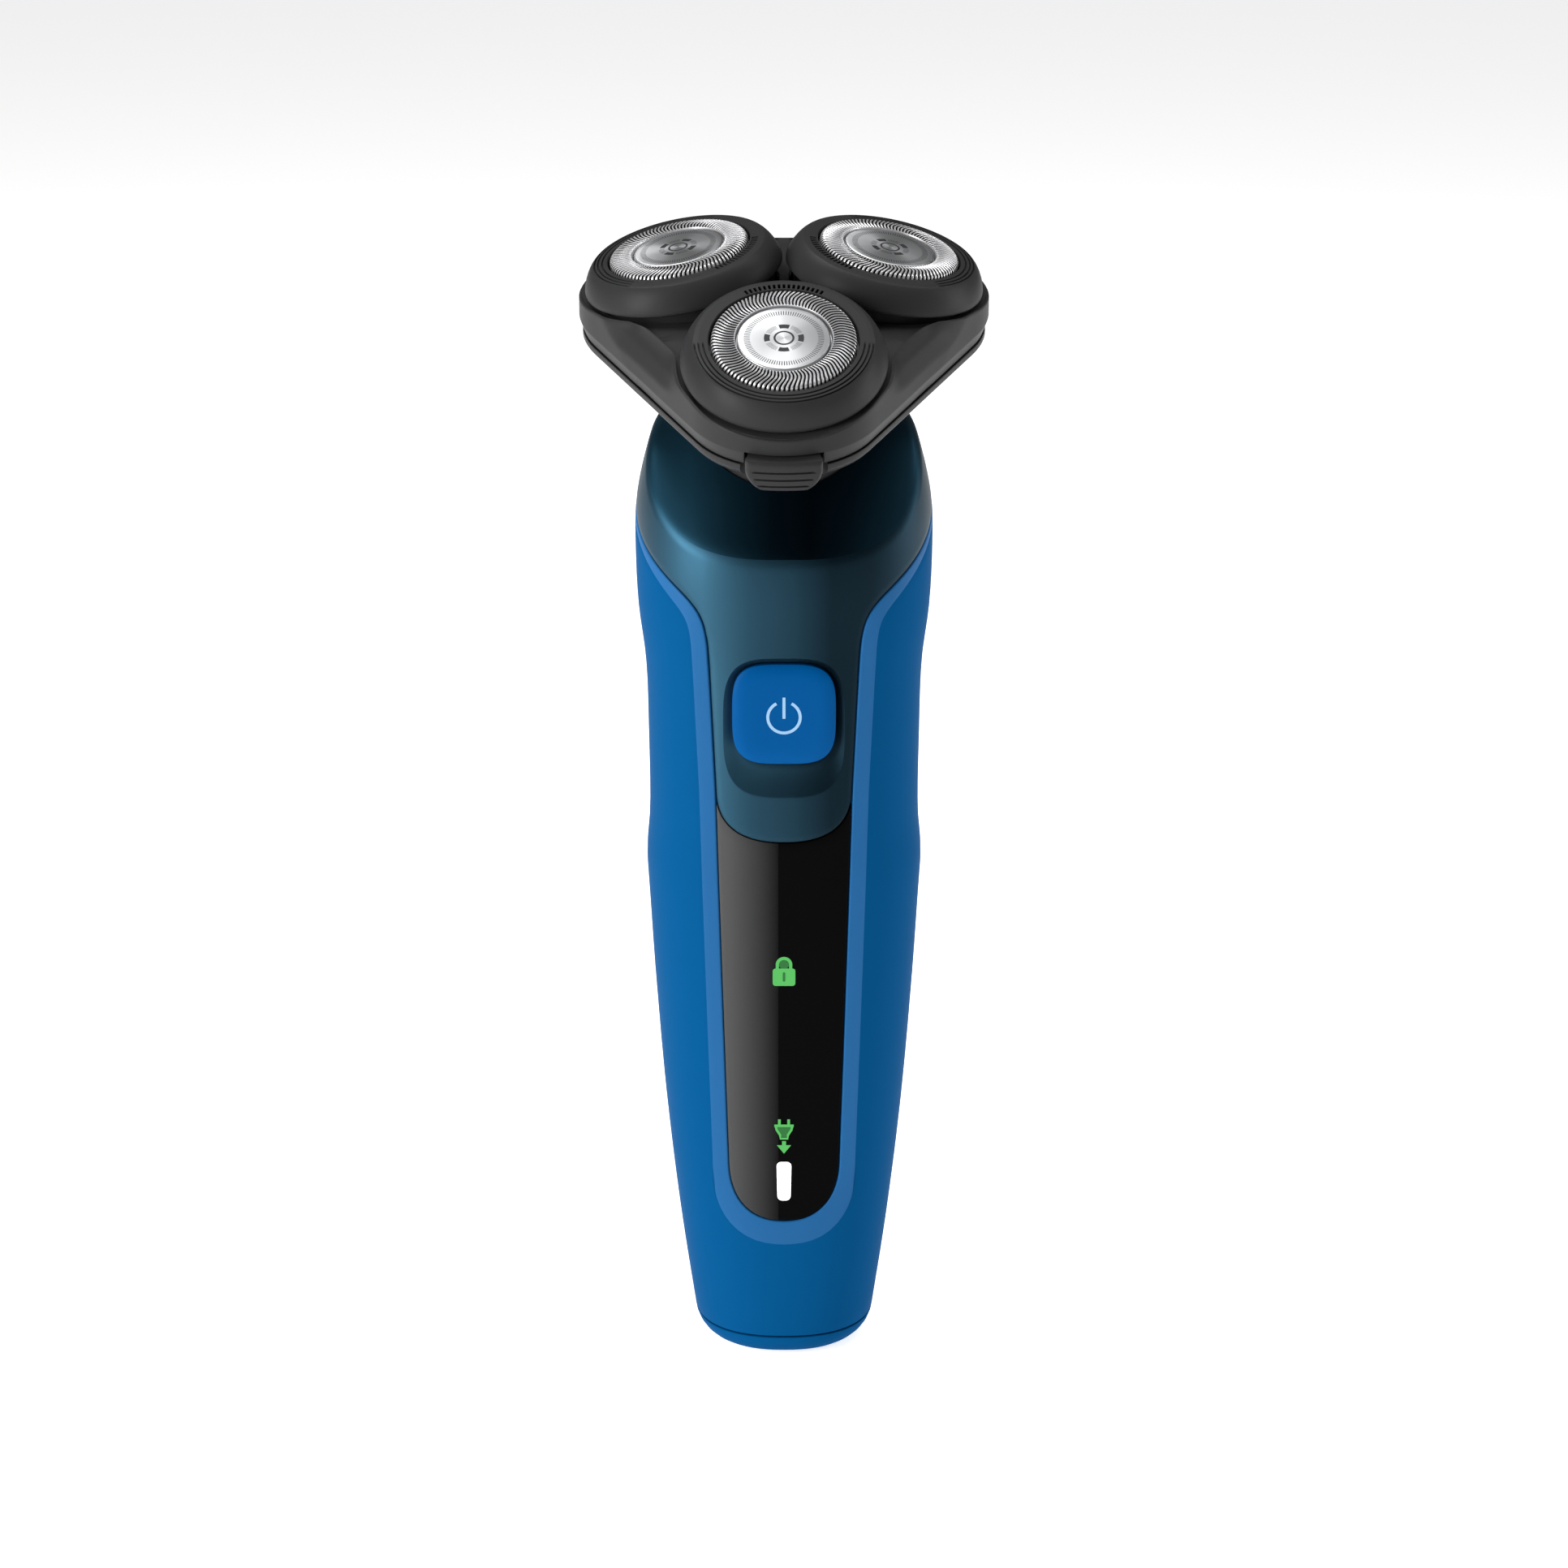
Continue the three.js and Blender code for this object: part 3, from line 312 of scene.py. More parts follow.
def side(turn, z, inset=0.0):
    """A point of the handle's side. turn goes from 0 at the front to pi at the back, on the +X half."""
    turn, z = np.broadcast_arrays(np.asarray(turn, float), np.asarray(z, float))
    shrink = foot_round(z) + inset
    across = np.abs(np.sin(turn)) ** (2 / SECTION_POWER)
    along = -np.sign(np.cos(turn)) * np.abs(np.cos(turn)) ** (2 / SECTION_POWER)
    depth = np.where(along < 0, front_depth(z), back_depth(z)) - shrink
    return np.stack([(half_width(z) - shrink) * across, depth * along, z], axis=-1)


MID_HEIGHT = 80.0
MID_WIDTH = float(half_width(MID_HEIGHT))
TURNS = np.linspace(0, math.pi, 721)
STEPS = np.linalg.norm(np.diff(side(TURNS, MID_HEIGHT), axis=0), axis=1)
WALKED = np.concatenate([[0], np.cumsum(STEPS)])


def turn_at(walk, z):
    """The turn at a distance walked round from the front."""
    return np.interp(np.asarray(walk) * MID_WIDTH / half_width(z), WALKED, TURNS)


def walk_at(turn, z):
    """The distance walked round from the front to a turn."""
    return np.interp(turn, TURNS, WALKED) * half_width(z) / MID_WIDTH


def turn_of_x(x, z):
    return np.arcsin(np.clip(np.abs(x) / half_width(z), 0, 1) ** (SECTION_POWER / 2))


def front_points(xz):
    """(x, z) in the front view, as (distance walked, z)."""
    x, z = xz[:, 0], xz[:, 1]
    return np.stack([walk_at(turn_of_x(x, z), z), z], axis=1)


def panel_inset(z):
    """The front panels lie under the grip low down and come flush at the shoulders."""
    return RECESS * (1 - ease(114, 130, z))


def offset(points, distance):
    """A line moved to its left by distance, which may differ from point to point."""
    ahead = np.gradient(points, axis=0)
    ahead /= np.linalg.norm(ahead, axis=1)[:, None]
    left = np.stack([-ahead[:, 1], ahead[:, 0]], axis=1)
    return points + left * np.broadcast_to(distance, len(points))[:, None]


def to_seams(points):
    """Moves a line's ends onto the middle of the front and of the back."""
    points[0, 0] = 0
    points[-1] = (walk_at(math.pi, points[-1, 1]), points[-1, 1])
    return points


# ---------- Outlines, as (distance walked from the front, z), on the +X half ----------
def flare(start_x):
    """The line where grip and front shell meet over the shoulder, from the tongue's side to the back."""
    lift = [(start_x, 117), (start_x + 0.2, 121.8), (start_x + 1, 123.6), (start_x + 3.6, 126)]
    rise = front_points(bezier(*lift, 14))
    corner = (walk_at(turn_of_x(19.4, 130.2), 130.2), 130.2)
    flank = (walk_at(math.radians(80), 134), 134)
    collar = (walk_at(math.radians(106), COLLAR_LINE), COLLAR_LINE)
    over = bezier(rise[-1], corner, flank, collar, 30)
    round_back = line(over[-1], (walk_at(math.pi, COLLAR_LINE), COLLAR_LINE), 24)
    return join(rise, over, round_back)


TONGUE_LOW, TONGUE_HIGH, TONGUE_BOTTOM = 10.65, 11.65, 87.8
WINDOW_LOW, WINDOW_BOTTOM = 8.95, 24.4
SIDE_TOP = 117  # where the straight sides of the tongue end


def foot_curve(wide, bottom, share, knee, straight):
    """A rounded foot, from its bottom middle to where its side runs straight."""
    return bezier((0, bottom), (wide * share, bottom), (wide, bottom + knee), (wide, bottom + straight), 24)


tongue_foot = foot_curve(TONGUE_LOW, TONGUE_BOTTOM, 0.62, 2, 8)
tongue_side = line(tongue_foot[-1], (TONGUE_HIGH, SIDE_TOP), 22)
tongue_line = join(front_points(join(tongue_foot, tongue_side)), flare(TONGUE_HIGH))
window_foot = foot_curve(WINDOW_LOW, WINDOW_BOTTOM, 0.6, 3, 10)
window_side = line(window_foot[-1], (TONGUE_LOW, TONGUE_BOTTOM + 8), 50)
button_side = line(window_side[-1], (TONGUE_HIGH, SIDE_TOP), 18)
opening_line = join(front_points(join(window_foot, window_side, button_side)), flare(TONGUE_HIGH))


def on_handle(walk, z, inset=0.0):
    return side(turn_at(walk, z), z, inset)


def edge_rows(extra):
    """(distance from the edge, depth) of the rows that round a shell's edge, on its outside only."""
    angles = np.linspace(0, math.pi / 2, 4)
    return [(EDGE * (1 - math.cos(a)), EDGE * (1 - math.sin(a)) * (extra == 0)) for a in angles]


# ---------- Grip ----------
def build_grip():
    rim = to_seams(offset(respace(opening_line, 150), -SEAM))
    share = np.linspace(0, 1, len(rim))
    bevel_wide = 2.3 + 1.5 * (1 - ease(0.02, 0.1, share)) - 1.5 * ease(0.62, 0.78, share)
    bevel_deep = (RECESS - 0.05) * (1 - ease(0.55, 0.72, share)) + 0.04

    def ring(distance):
        return to_seams(offset(rim, -distance))

    foot_turn = np.interp(share, [0, 0.07, 0.5, 0.62, 0.75, 1], [0, 0.55, 1.35, 1.75, 2.3, math.pi])
    foot_z = CAP_LINE + SEAM
    past_bevel = 1.07

    def rows(extra):
        made = [on_handle(*ring(out).T, extra + bevel_deep + deep) for out, deep in edge_rows(extra)]
        for part in (0.3, 0.65, 0.93, 1.0, past_bevel):
            lines = ring(EDGE + part * (bevel_wide - EDGE))
            crease = 0.02 if part == 1 else 0
            made.append(on_handle(*lines.T, extra + bevel_deep * max(0, 1 - part) + crease))
        start = ring(EDGE + past_bevel * (bevel_wide - EDGE))
        start_turn = turn_at(*start.T)
        for t in np.linspace(0, 1, 44)[1:-1]:
            turn = start_turn + (foot_turn - start_turn) * (1 - (1 - t) ** 2)
            z = start[:, 1] + (foot_z + EDGE - start[:, 1]) * (0.35 * t + 0.65 * t * t)
            made.append(side(turn, z, extra))
        return made + [side(foot_turn, foot_z + out, extra + deep) for out, deep in edge_rows(extra)[::-1]]

    outer, inner = rows(0), rows(SHELL)
    # The bevel rows take the lighter blue: a painted highlight.
    bevel_rows = np.arange(len(outer) - 1)[:, None] < 7
    # The grip's inside sheet takes the dark plastic: painted shade inside the blue shell.
    skin = Skin().grid(outer, ink=1 * bevel_rows).grid(inner, ink=2)
    skin.joined(outer, inner)
    skin.mirrored().piece("grip", "handle", [BLUE, BEVEL_HIGHLIGHT, DARK], stands_for="grip_shell")


# ---------- Base cap ----------
def build_base_cap():
    columns = 65
    turns = np.interp(np.linspace(0, 1, columns), np.linspace(0, 1, len(TURNS)), TURNS)
    top = CAP_LINE - SEAM
    hole = squircle_half(12.6, 7.6, 8, columns)
    hole = np.stack([hole[:, 0], hole[:, 1] + 5.4, np.zeros(columns)], axis=1)

    def rows(extra):
        made = [side(turns, top - out, extra + deep) for out, deep in edge_rows(extra)]
        made += [side(turns, z, extra) for z in (2.6, 1.7, 1.0, 0.5, 0.2, 0.05)]
        rim = side(turns, 0.0, extra)
        lift = np.array([0, 0, min(extra, 1.6)])
        made = [row + lift * ease(top, 0, row[:, 2])[:, None] for row in made]
        made += [rim * (1 - t) + hole * t + lift for t in (0, 0.25, 0.5, 0.75, 0.96, 1)]
        return made

    outer, inner = rows(0), rows(SHELL)
    outer[-1] = outer[-1] + (0, 0, 0.15)
    skin = Skin().grid(outer).grid(inner).joined(outer, inner)
    skin.mirrored().piece("foot_cap", "handle", BLUE, stands_for="base_cap")


def squircle_half(wide, high, power, count):
    """The +X half of a rounded rectangle, from its bottom middle to its top middle, as (across, up)."""
    a = np.linspace(-math.pi / 2, math.pi / 2, count * 8)
    across = wide / 2 * np.abs(np.cos(a)) ** (2 / power)
    up = high / 2 * np.sign(np.sin(a)) * np.abs(np.sin(a)) ** (2 / power)
    return respace(np.stack([across, up], axis=1), count)


# ---------- Front shell ----------
def bisect(low, high, steps, holds):
    """For each point, the last place from low to high where holds(place) is true."""
    for _ in range(steps):
        middle = (low + high) / 2
        under = holds(middle)
        low, high = np.where(under, middle, low), np.where(under, high, middle)
    return low


def shoulder_z(p):
    """The height of the shoulder face over points."""
    return shoulder_rise(p[:, 1]) - SHOULDER_CROWN * p[:, 0] ** 2


def crease_height(turn):
    """The height where the handle's side meets the shoulder face, at each turn."""
    low, high = np.full(len(turn), 120.0), np.full(len(turn), 159.0)
    return bisect(low, high, 40, lambda z: z < shoulder_z(side(turn, z)))


unit_axis = np.array([0, -math.sin(HEAD_TILT), math.cos(HEAD_TILT)])
unit_back = np.array([0, math.cos(HEAD_TILT), math.sin(HEAD_TILT)])


def neck_edge(bearing, radius=NECK_HOLE):
    """Where a cylinder about the unit's axis meets the shoulder face. bearing 0 is the front."""
    out = np.outer(np.sin(bearing), (1, 0, 0)) - np.outer(np.cos(bearing), unit_back)
    start = np.array(HEAD_CENTRE) + radius * out

    def under_face(reach):
        p = start + reach[:, None] * unit_axis
        return p[:, 2] < shoulder_z(p)

    reach = bisect(np.full(len(bearing), -45.0), np.full(len(bearing), -5.0), 40, under_face)
    return start + reach[:, None] * unit_axis


def build_front_shell():
    rim_wide, lip = 1.15, 0.22
    outline = respace(tongue_line, 130)
    inward = to_seams(offset(outline, rim_wide))
    split = int(np.argmax(inward[:, 1] > PATCH_LINE))
    inward[split, 1] = outline[split, 1] = PATCH_LINE
    top_line = line(inward[split], (0, PATCH_LINE), 15)

    # The button's patch: rings from the button's hole, out over the scoop, to the tongue's rim.
    outer_ring = np.concatenate([inward[: split + 1], top_line[1:]])
    outer_x = side(turn_at(*outer_ring.T), outer_ring[:, 1])[:, 0]
    bearing = np.arctan2(outer_x, -(outer_ring[:, 1] - BUTTON_Z))

    def around(wide, low, high, power):
        half = squircle_half(wide, high - low, power, 400) + (0, (low + high) / 2)
        own = np.arctan2(half[:, 0], -(half[:, 1] - BUTTON_Z))
        return np.stack([np.interp(bearing, own, half[:, k]) for k in (0, 1)], axis=1)

    hole = BUTTON_SIZE + 0.5
    hole_ring = around(hole, BUTTON_Z - hole / 2, BUTTON_Z + hole / 2, BUTTON_POWER)
    scoop_ring = around(SCOOP_WIDE, SCOOP_LOW, SCOOP_HIGH, 3.4)
    outer_xz = np.stack([outer_x, outer_ring[:, 1]], axis=1)

    def front(xz, deep):
        x, z = xz.T
        return side(turn_of_x(x, z), z, panel_inset(z) + deep)

    def patch_rows(extra):
        made = []
        if extra == 0:
            made.append(front(hole_ring, SCOOP_DEPTH + 0.35))
        for t in (0, 0.08, 0.2, 0.35, 0.5, 0.65, 0.8, 0.92, 0.98, 1.0):
            ring = hole_ring + (scoop_ring - hole_ring) * t
            deep = SCOOP_DEPTH * (1 - t**1.7) + (0.12 if t == 0 else 0)
            made.append(front(ring, max(extra, deep * (extra == 0))))
        outward = (0.05, 0.2, 0.4, 0.6, 0.8, 1.0)
        return made + [front(scoop_ring + (outer_xz - scoop_ring) * t, extra) for t in outward]

    # The shoulders' patch: from that line and the rim, up the side, over the crease, and in to the neck.
    start = np.concatenate([top_line[::-1], inward[split + 1 :]])
    turns = turn_at(*start.T)
    crease = crease_height(turns)
    rounding = 1.3  # how far from the crease its round begins

    def shoulder_rows(extra):
        made = []
        for t in np.linspace(0, 1, 15):
            z = start[:, 1] + (crease - rounding - start[:, 1]) * t
            made.append(side(turns, z, panel_inset(z) + extra))
        before = side(turns, crease - rounding, extra)
        edge = side(turns, crease, extra)
        edge[:, 2] = shoulder_z(edge) - extra * 0.6
        neck_bearing = np.interp(turns, [0, math.pi / 2, math.pi], [0, math.pi * 0.54, math.pi])
        neck = neck_edge(neck_bearing)

        def face(t):
            p = edge * (1 - t) + neck * t
            p[:, 2] = shoulder_z(p) - extra
            return p

        gap = np.linalg.norm((neck - edge)[:, :2], axis=1)
        after_t = (rounding / gap)[:, None]
        after = face(after_t)
        made += [(1 - t) ** 2 * before + 2 * t * (1 - t) * edge + t * t * after for t in (0.25, 0.5, 0.75)]
        made += [face(after_t + (0.985 - after_t) * t) for t in np.linspace(0, 1, 18)]
        if extra == 0:
            made.append(face(np.array([[1.0]])) - unit_axis * 0.12)
            made.append(made[-1] - unit_axis * (SHELL - 0.3))
        return made

    def rim_rows(extra):
        rows = [on_handle(*inward.T, panel_inset(inward[:, 1]) + extra)]
        for t in (0.35, 0.7):
            p = inward + (outline - inward) * t
            rows.append(on_handle(*p.T, panel_inset(p[:, 1]) + extra + lip * t * t * (extra == 0)))
        for distance, deep in edge_rows(extra)[::-1]:
            t = distance / rim_wide
            p = outline + (inward - outline) * t
            drop = lip * (1 - t) ** 2 * (extra == 0) + deep
            rows.append(on_handle(*p.T, panel_inset(p[:, 1]) + extra + drop))
        return rows

    skin = Skin()
    sets = []
    for extra in (0, SHELL):
        patch, top, rim = patch_rows(extra), shoulder_rows(extra), rim_rows(extra)
        # Faces past the crease take the shoulder material, with its painted shade and reflection.
        past_crease = np.arange(len(top) - 1)[:, None] > 15
        skin.grid(patch).grid(top, ink=1 * past_crease).grid(rim)
        sets.append((patch[0], top[-1], rim[-1]))
    for outer, inner in zip(*sets):
        skin.grid([outer, inner])
    skin.mirrored()
    # Both of the front shell's materials carry painted light and shade across X.
    skin.piece("front_shell_skin", "handle", [NAVY, SHOULDER], stands_for="front_shell")


# ---------- The display window and its lit signs ----------
def build_window():
    def half(z):
        low = np.interp(z, window_foot[:, 1], window_foot[:, 0])
        up = np.interp(z, [WINDOW_BOTTOM + 10, TONGUE_BOTTOM + 8], [WINDOW_LOW, TONGUE_LOW])
        return np.where(z < WINDOW_BOTTOM + 10, low, up) - 0.02

    tongue_z = np.interp(np.linspace(0, TONGUE_LOW, 60), tongue_foot[:, 0], tongue_foot[:, 1])
    u = np.sin(np.linspace(-1, 1, 41) * math.pi / 2)
    w = np.concatenate([np.linspace(0, 0.32, 22) ** 2 / 0.32, np.linspace(0.32, 1, 40)[1:]])

    def rows(deep):
        made = []
        for share in w:
            z0 = WINDOW_BOTTOM + 0.02 + share * (TONGUE_BOTTOM - 0.2 - WINDOW_BOTTOM)
            x = u * half(z0)
            lift = np.interp(np.abs(x), np.linspace(0, TONGUE_LOW, 60), tongue_z) - TONGUE_BOTTOM
            z = z0 + lift * ease(0.7, 1, share)
            x = u * half(z)
            edge = np.minimum(np.minimum((1 - np.abs(u)) * half(z), (1 - share) * 60), share * 60)
            round_off = 0.16 * (1 - np.clip(edge / 0.35, 0, 1)) ** 2
            p = side(turn_of_x(x, z), z, RECESS + 0.1 + deep + round_off * (deep == 0))
            p[:, 0] *= np.sign(x)
            made.append(p)
        return made

    outer, inner = rows(0), rows(1.3)
    skin = Skin().grid(outer).grid(inner).joined(outer, inner, ends=True)
    skin.piece("window_glass", "handle", BLACK, stands_for="display_window")


def stroke(skin, path, width, surface, thick=0.05):
    """A flat line of a sign, along path in the front view, raised a little from the surface."""
    path = np.asarray(path, float)
    closed = np.allclose(path[0], path[-1])
    ahead = np.gradient(path, axis=0)
    if closed:
        ahead[0] = ahead[-1] = path[1] - path[-2]
    ahead /= np.linalg.norm(ahead, axis=1)[:, None]
    left = np.stack([-ahead[:, 1], ahead[:, 0]], axis=1) * (np.broadcast_to(width, len(path)) / 2)[:, None]
    sides = []
    for shift, out in ((left, thick), (-left, thick), (-left, -thick), (left, -thick), (left, thick)):
        p = path + shift
        sides.append(np.stack([p[:, 0], surface(p[:, 0], p[:, 1]) - out, p[:, 1]], axis=1))
    skin.grid(sides)
    if not closed:
        for end in (0, -1):
            skin.grid([[sides[0][end], sides[1][end]], [sides[3][end], sides[2][end]]])


def round_turns(count):
    """Evenly spaced angles once round."""
    return np.linspace(0, TAU, count + 1)[:-1]


def arc(centre, radius, start, end, count=24):
    a = np.radians(np.linspace(start, end, count))
    return np.stack([centre[0] + radius * np.cos(a), centre[1] + radius * np.sin(a)], axis=1)


def on_window(x, z):
    return side(turn_of_x(x, z), z, RECESS + 0.1)[..., 1]


def capsule(low, high, half_low, half_high, corner, count=24):
    """A filled rounded bar: points up its middle line, and its width at each."""
    z = low + (high - low) * (1 - np.cos(np.linspace(0, math.pi, count))) / 2
    half = np.interp(z, [low, high], [half_low, half_high])
    inset = np.maximum(corner - np.minimum(z - low, high - z), 0)
    width = 2 * (half - corner + np.sqrt(np.maximum(corner**2 - inset**2, 1e-4)))
    return np.stack([0 * z, z], axis=1), width


def build_signs():
    lock = Skin()
    stroke(lock, *capsule(64.6, 67.45, 1.73, 1.73, 0.45), on_window)
    bow = 1.02
    legs = [line((-bow, 67.3), (-bow, 68.1), 3), line((bow, 68.1), (bow, 67.3), 3)]
    stroke(lock, join(legs[0], arc((0, 68.1), bow, 180, 0), legs[1]), 0.48, on_window)
    keyhole = Skin()
    stroke(keyhole, *capsule(65.3, 66.85, 0.2, 0.2, 0.2, 10), on_window, 0.08)
    inside = Skin()
    stroke(inside, *capsule(67.4, 68.85, 0.78, 0.78, 0.7, 12), on_window, 0.03)
    stroke(inside, [(0, 39.0), (0, 39.5), (0, 40.9)], [1.0, 1.4, 2.3], on_window, 0.03)
    plug = Skin()
    right = [(0.55, 38.75), (0.6, 39.35), (1.15, 40.25), (1.28, 40.95)]
    left = [(-x, z) for x, z in reversed(right)]
    stroke(plug, left + right, 0.36, on_window)
    stroke(plug, [(-1.5, 40.95), (1.5, 40.95)], 0.42, on_window)
    for x in (-0.72, 0.72):
        stroke(plug, [(x, 41.0), (x, 42.05)], 0.42, on_window)
    stroke(plug, [(0, 38.3), (0, 37.6)], 0.62, on_window)
    stroke(plug, [(0, 37.6), (0, 36.2)], [2.2, 0.05], on_window)
    battery = Skin()
    stroke(battery, *capsule(28.0, 34.7, 1.02, 1.16, 0.75), on_window)
    lock.piece("lock_sign", "handle", LIT_GREEN)
    keyhole.piece("lock_keyhole", "handle", DIM_GREEN)
    inside.piece("sign_insides", "handle", DIM_GREEN)
    plug.piece("plug_sign", "handle", LIT_GREEN)
    battery.piece("battery_sign", "handle", LIT_WHITE)


# ---------- Power button ----------
BUTTON_FACE = float(front_depth(BUTTON_Z)) - RECESS + 0.02


def button_y(x, z):
    """The button's face: slightly dished, with a soft edge."""
    half = BUTTON_SIZE / 2
    x, z = np.abs(np.asarray(x) / half), np.abs((np.asarray(z) - BUTTON_Z) / half)
    out = np.clip(x**BUTTON_POWER + z**BUTTON_POWER, 0, 1)
    return -(BUTTON_FACE - 0.75 * out**2.2 - 0.10 * (1 - out))


def build_button():
    half = squircle_half(BUTTON_SIZE, BUTTON_SIZE, BUTTON_POWER, 49)
    rows = []
    for t in (0.001, 0.2, 0.4, 0.6, 0.75, 0.85, 0.92, 0.96, 0.985, 1.0):
        x, z = half[:, 0] * t, BUTTON_Z + half[:, 1] * t
        rows.append(np.stack([x, button_y(x, z), z], axis=1))
    for t, back in ((1, BUTTON_BACK + 0.5), (1, BUTTON_BACK), (0.001, BUTTON_BACK)):
        x, z = half[:, 0] * t, BUTTON_Z + half[:, 1] * t
        rows.append(np.stack([x, 0 * x - back, z], axis=1))
    key = Skin().grid(rows).mirrored()
    key.piece("power_key", "power_button", BUTTON, stands_for="power_button", sharp=50, weld=0.03)

    sign = Skin()
    stroke(sign, arc((0, 107.7), 2.42, 118, 422, 49), 0.45, button_y)
    stroke(sign, line((0, 107.5), (0, 110.8), 5), 0.45, button_y)
    sign.piece("power_sign", "power_button", SYMBOL)


# ---------- The shaving unit: its own frame has +Z along its axis and -Y to the front ----------
UNIT = Matrix.Translation(Vector(HEAD_CENTRE) * MM) @ Matrix.Rotation(HEAD_TILT, 4, "X")
FRAME_BOTTOM, VALLEY, SEAT = -13, -4.8, -4.85
SKIRT_R = 13.3
FLEX, FLEX_OUT = math.radians(4), 13.5
HOLE_PITCH, HOLE_R = 16.9, 14.0
HINGE_Y, HINGE_Z, HINGE_R, KNUCKLE_R, HINGE_MIDDLE, HINGE_HALF = 24.6, -13.6, 0.9, 1.7, 4, 6.3
TAB_TOP, TAB_BOTTOM, TAB_HALF, TAB_FRONT, TAB_BACK, TAB_TRAVEL = -10.9, -15.8, 5.5, -34.9, -31.2, 1.5


def sector_angles():
    """Angles round the unit's axis: even over each head, closer where two holes pass and beside the tab."""
    tangent = math.degrees(math.asin(HOLE_R / HOLE_PITCH))
    near = [51.5, 53, 54.2, 55.1, tangent, 57.2, 58.6]
    at_tab = [10.4, 10.9, 11.3]
    half = np.sort(np.concatenate([np.linspace(0, 50, 26), at_tab, near]))
    whole = np.concatenate([-half[::-1][:-1], half, [60]])
    bearings = np.repeat([-90, 30, 150], len(whole))
    return np.radians(bearings), np.radians(np.tile(whole, 3))


BEARING, PHI = sector_angles()
AROUND = BEARING + PHI
UP = np.sin(AROUND)
X_AT_TAB, X_AT_HINGE = np.abs(33 * np.cos(AROUND)), np.abs(24.1 / np.tan(AROUND))


def triangle_radius(corner, pitch, phi=PHI):
    """Distance from the unit's axis to the rounded triangle round the heads."""
    phi = np.abs(phi)
    arc_part = pitch * np.cos(phi) + np.sqrt(np.maximum(corner**2 - (pitch * np.sin(phi)) ** 2, 0))
    flat_part = (pitch / 2 + corner) / np.cos(math.pi / 3 - phi)
    turn = np.arctan2(corner * math.sin(math.pi / 3), pitch + corner * math.cos(math.pi / 3))
    return np.where(phi < turn, arc_part, flat_part)


def circle(radius, z, angles=AROUND):
    """Points about the Z axis, at a radius and a height."""
    return np.stack([radius * np.cos(angles), radius * np.sin(angles), z + 0 * angles], axis=-1)


def collar_radius(z):
    """Distance from the unit's axis to the leaning collar round each head."""
    def inside(radius):
        out, across = radius * np.cos(PHI) - HEAD_PITCH, radius * np.sin(PHI)
        x, height = out * LEAN_COS - z * LEAN_SIN, out * LEAN_SIN + z * LEAN_COS
        return np.hypot(x, across) < np.interp(height, [-9, SEAT], [16.9, 15.75])

    return bisect(HEAD_PITCH * np.cos(PHI), np.full(len(PHI), 45.0), 36, inside)


def soft_max(a, b, blend):
    return (a + b + np.sqrt((a - b) ** 2 + blend**2)) / 2


def frame_radius(z, inset=0.0):
    """The frame's outer side: the leaning triangle and the collars, within the upright triangle."""
    corner = np.interp(z, [-13, -10.7, -8.4, -6, VALLEY], [14.25, 15, 14.85, 13.7, 12])
    leaning = triangle_radius(corner, HEAD_PITCH)
    hull = triangle_radius(np.interp(z, [-13, -10.7, -8], [14.25, 15, 14.95]), HEAD_PITCH)
    return np.minimum(hull, soft_max(leaning, collar_radius(z), 0.9) - 0.08) - inset


def seat_height(x, y, flexed):
    """The lowest of the three ring seats over points. Flexed seats leave room for a head to sink."""
    heights = []
    for bearing in HEAD_BEARINGS:
        out = x * math.cos(bearing) + y * math.sin(bearing) - HEAD_PITCH
        drop = np.maximum(FLEX_OUT - out, 0) * math.tan(FLEX) if flexed else 0
        heights.append((SEAT - drop - out * LEAN_SIN) / LEAN_COS)
    return np.minimum(np.min(heights, axis=0), VALLEY)


def frame_top():
    z = np.full(len(PHI), VALLEY - 0.5)
    for _ in range(30):
        rim = circle(frame_radius(z), z)
        z = 0.5 * z + 0.5 * seat_height(rim[:, 0], rim[:, 1], False)
    return z


def hole_radius(far):
    """Distance from the unit's axis to the near or far side of each head's hole, or to the web between."""
    middle = HOLE_PITCH * np.cos(PHI)
    reach = np.sqrt(np.maximum(HOLE_R**2 - (HOLE_PITCH * np.sin(PHI)) ** 2, 0))
    return middle + reach if far else middle - reach


def on_seat(radius, under):
    """Points of the flexed seats, or as far under them as given."""
    p = circle(radius, 0.0)
    p[:, 2] = seat_height(p[:, 0], p[:, 1], True) - under
    return p


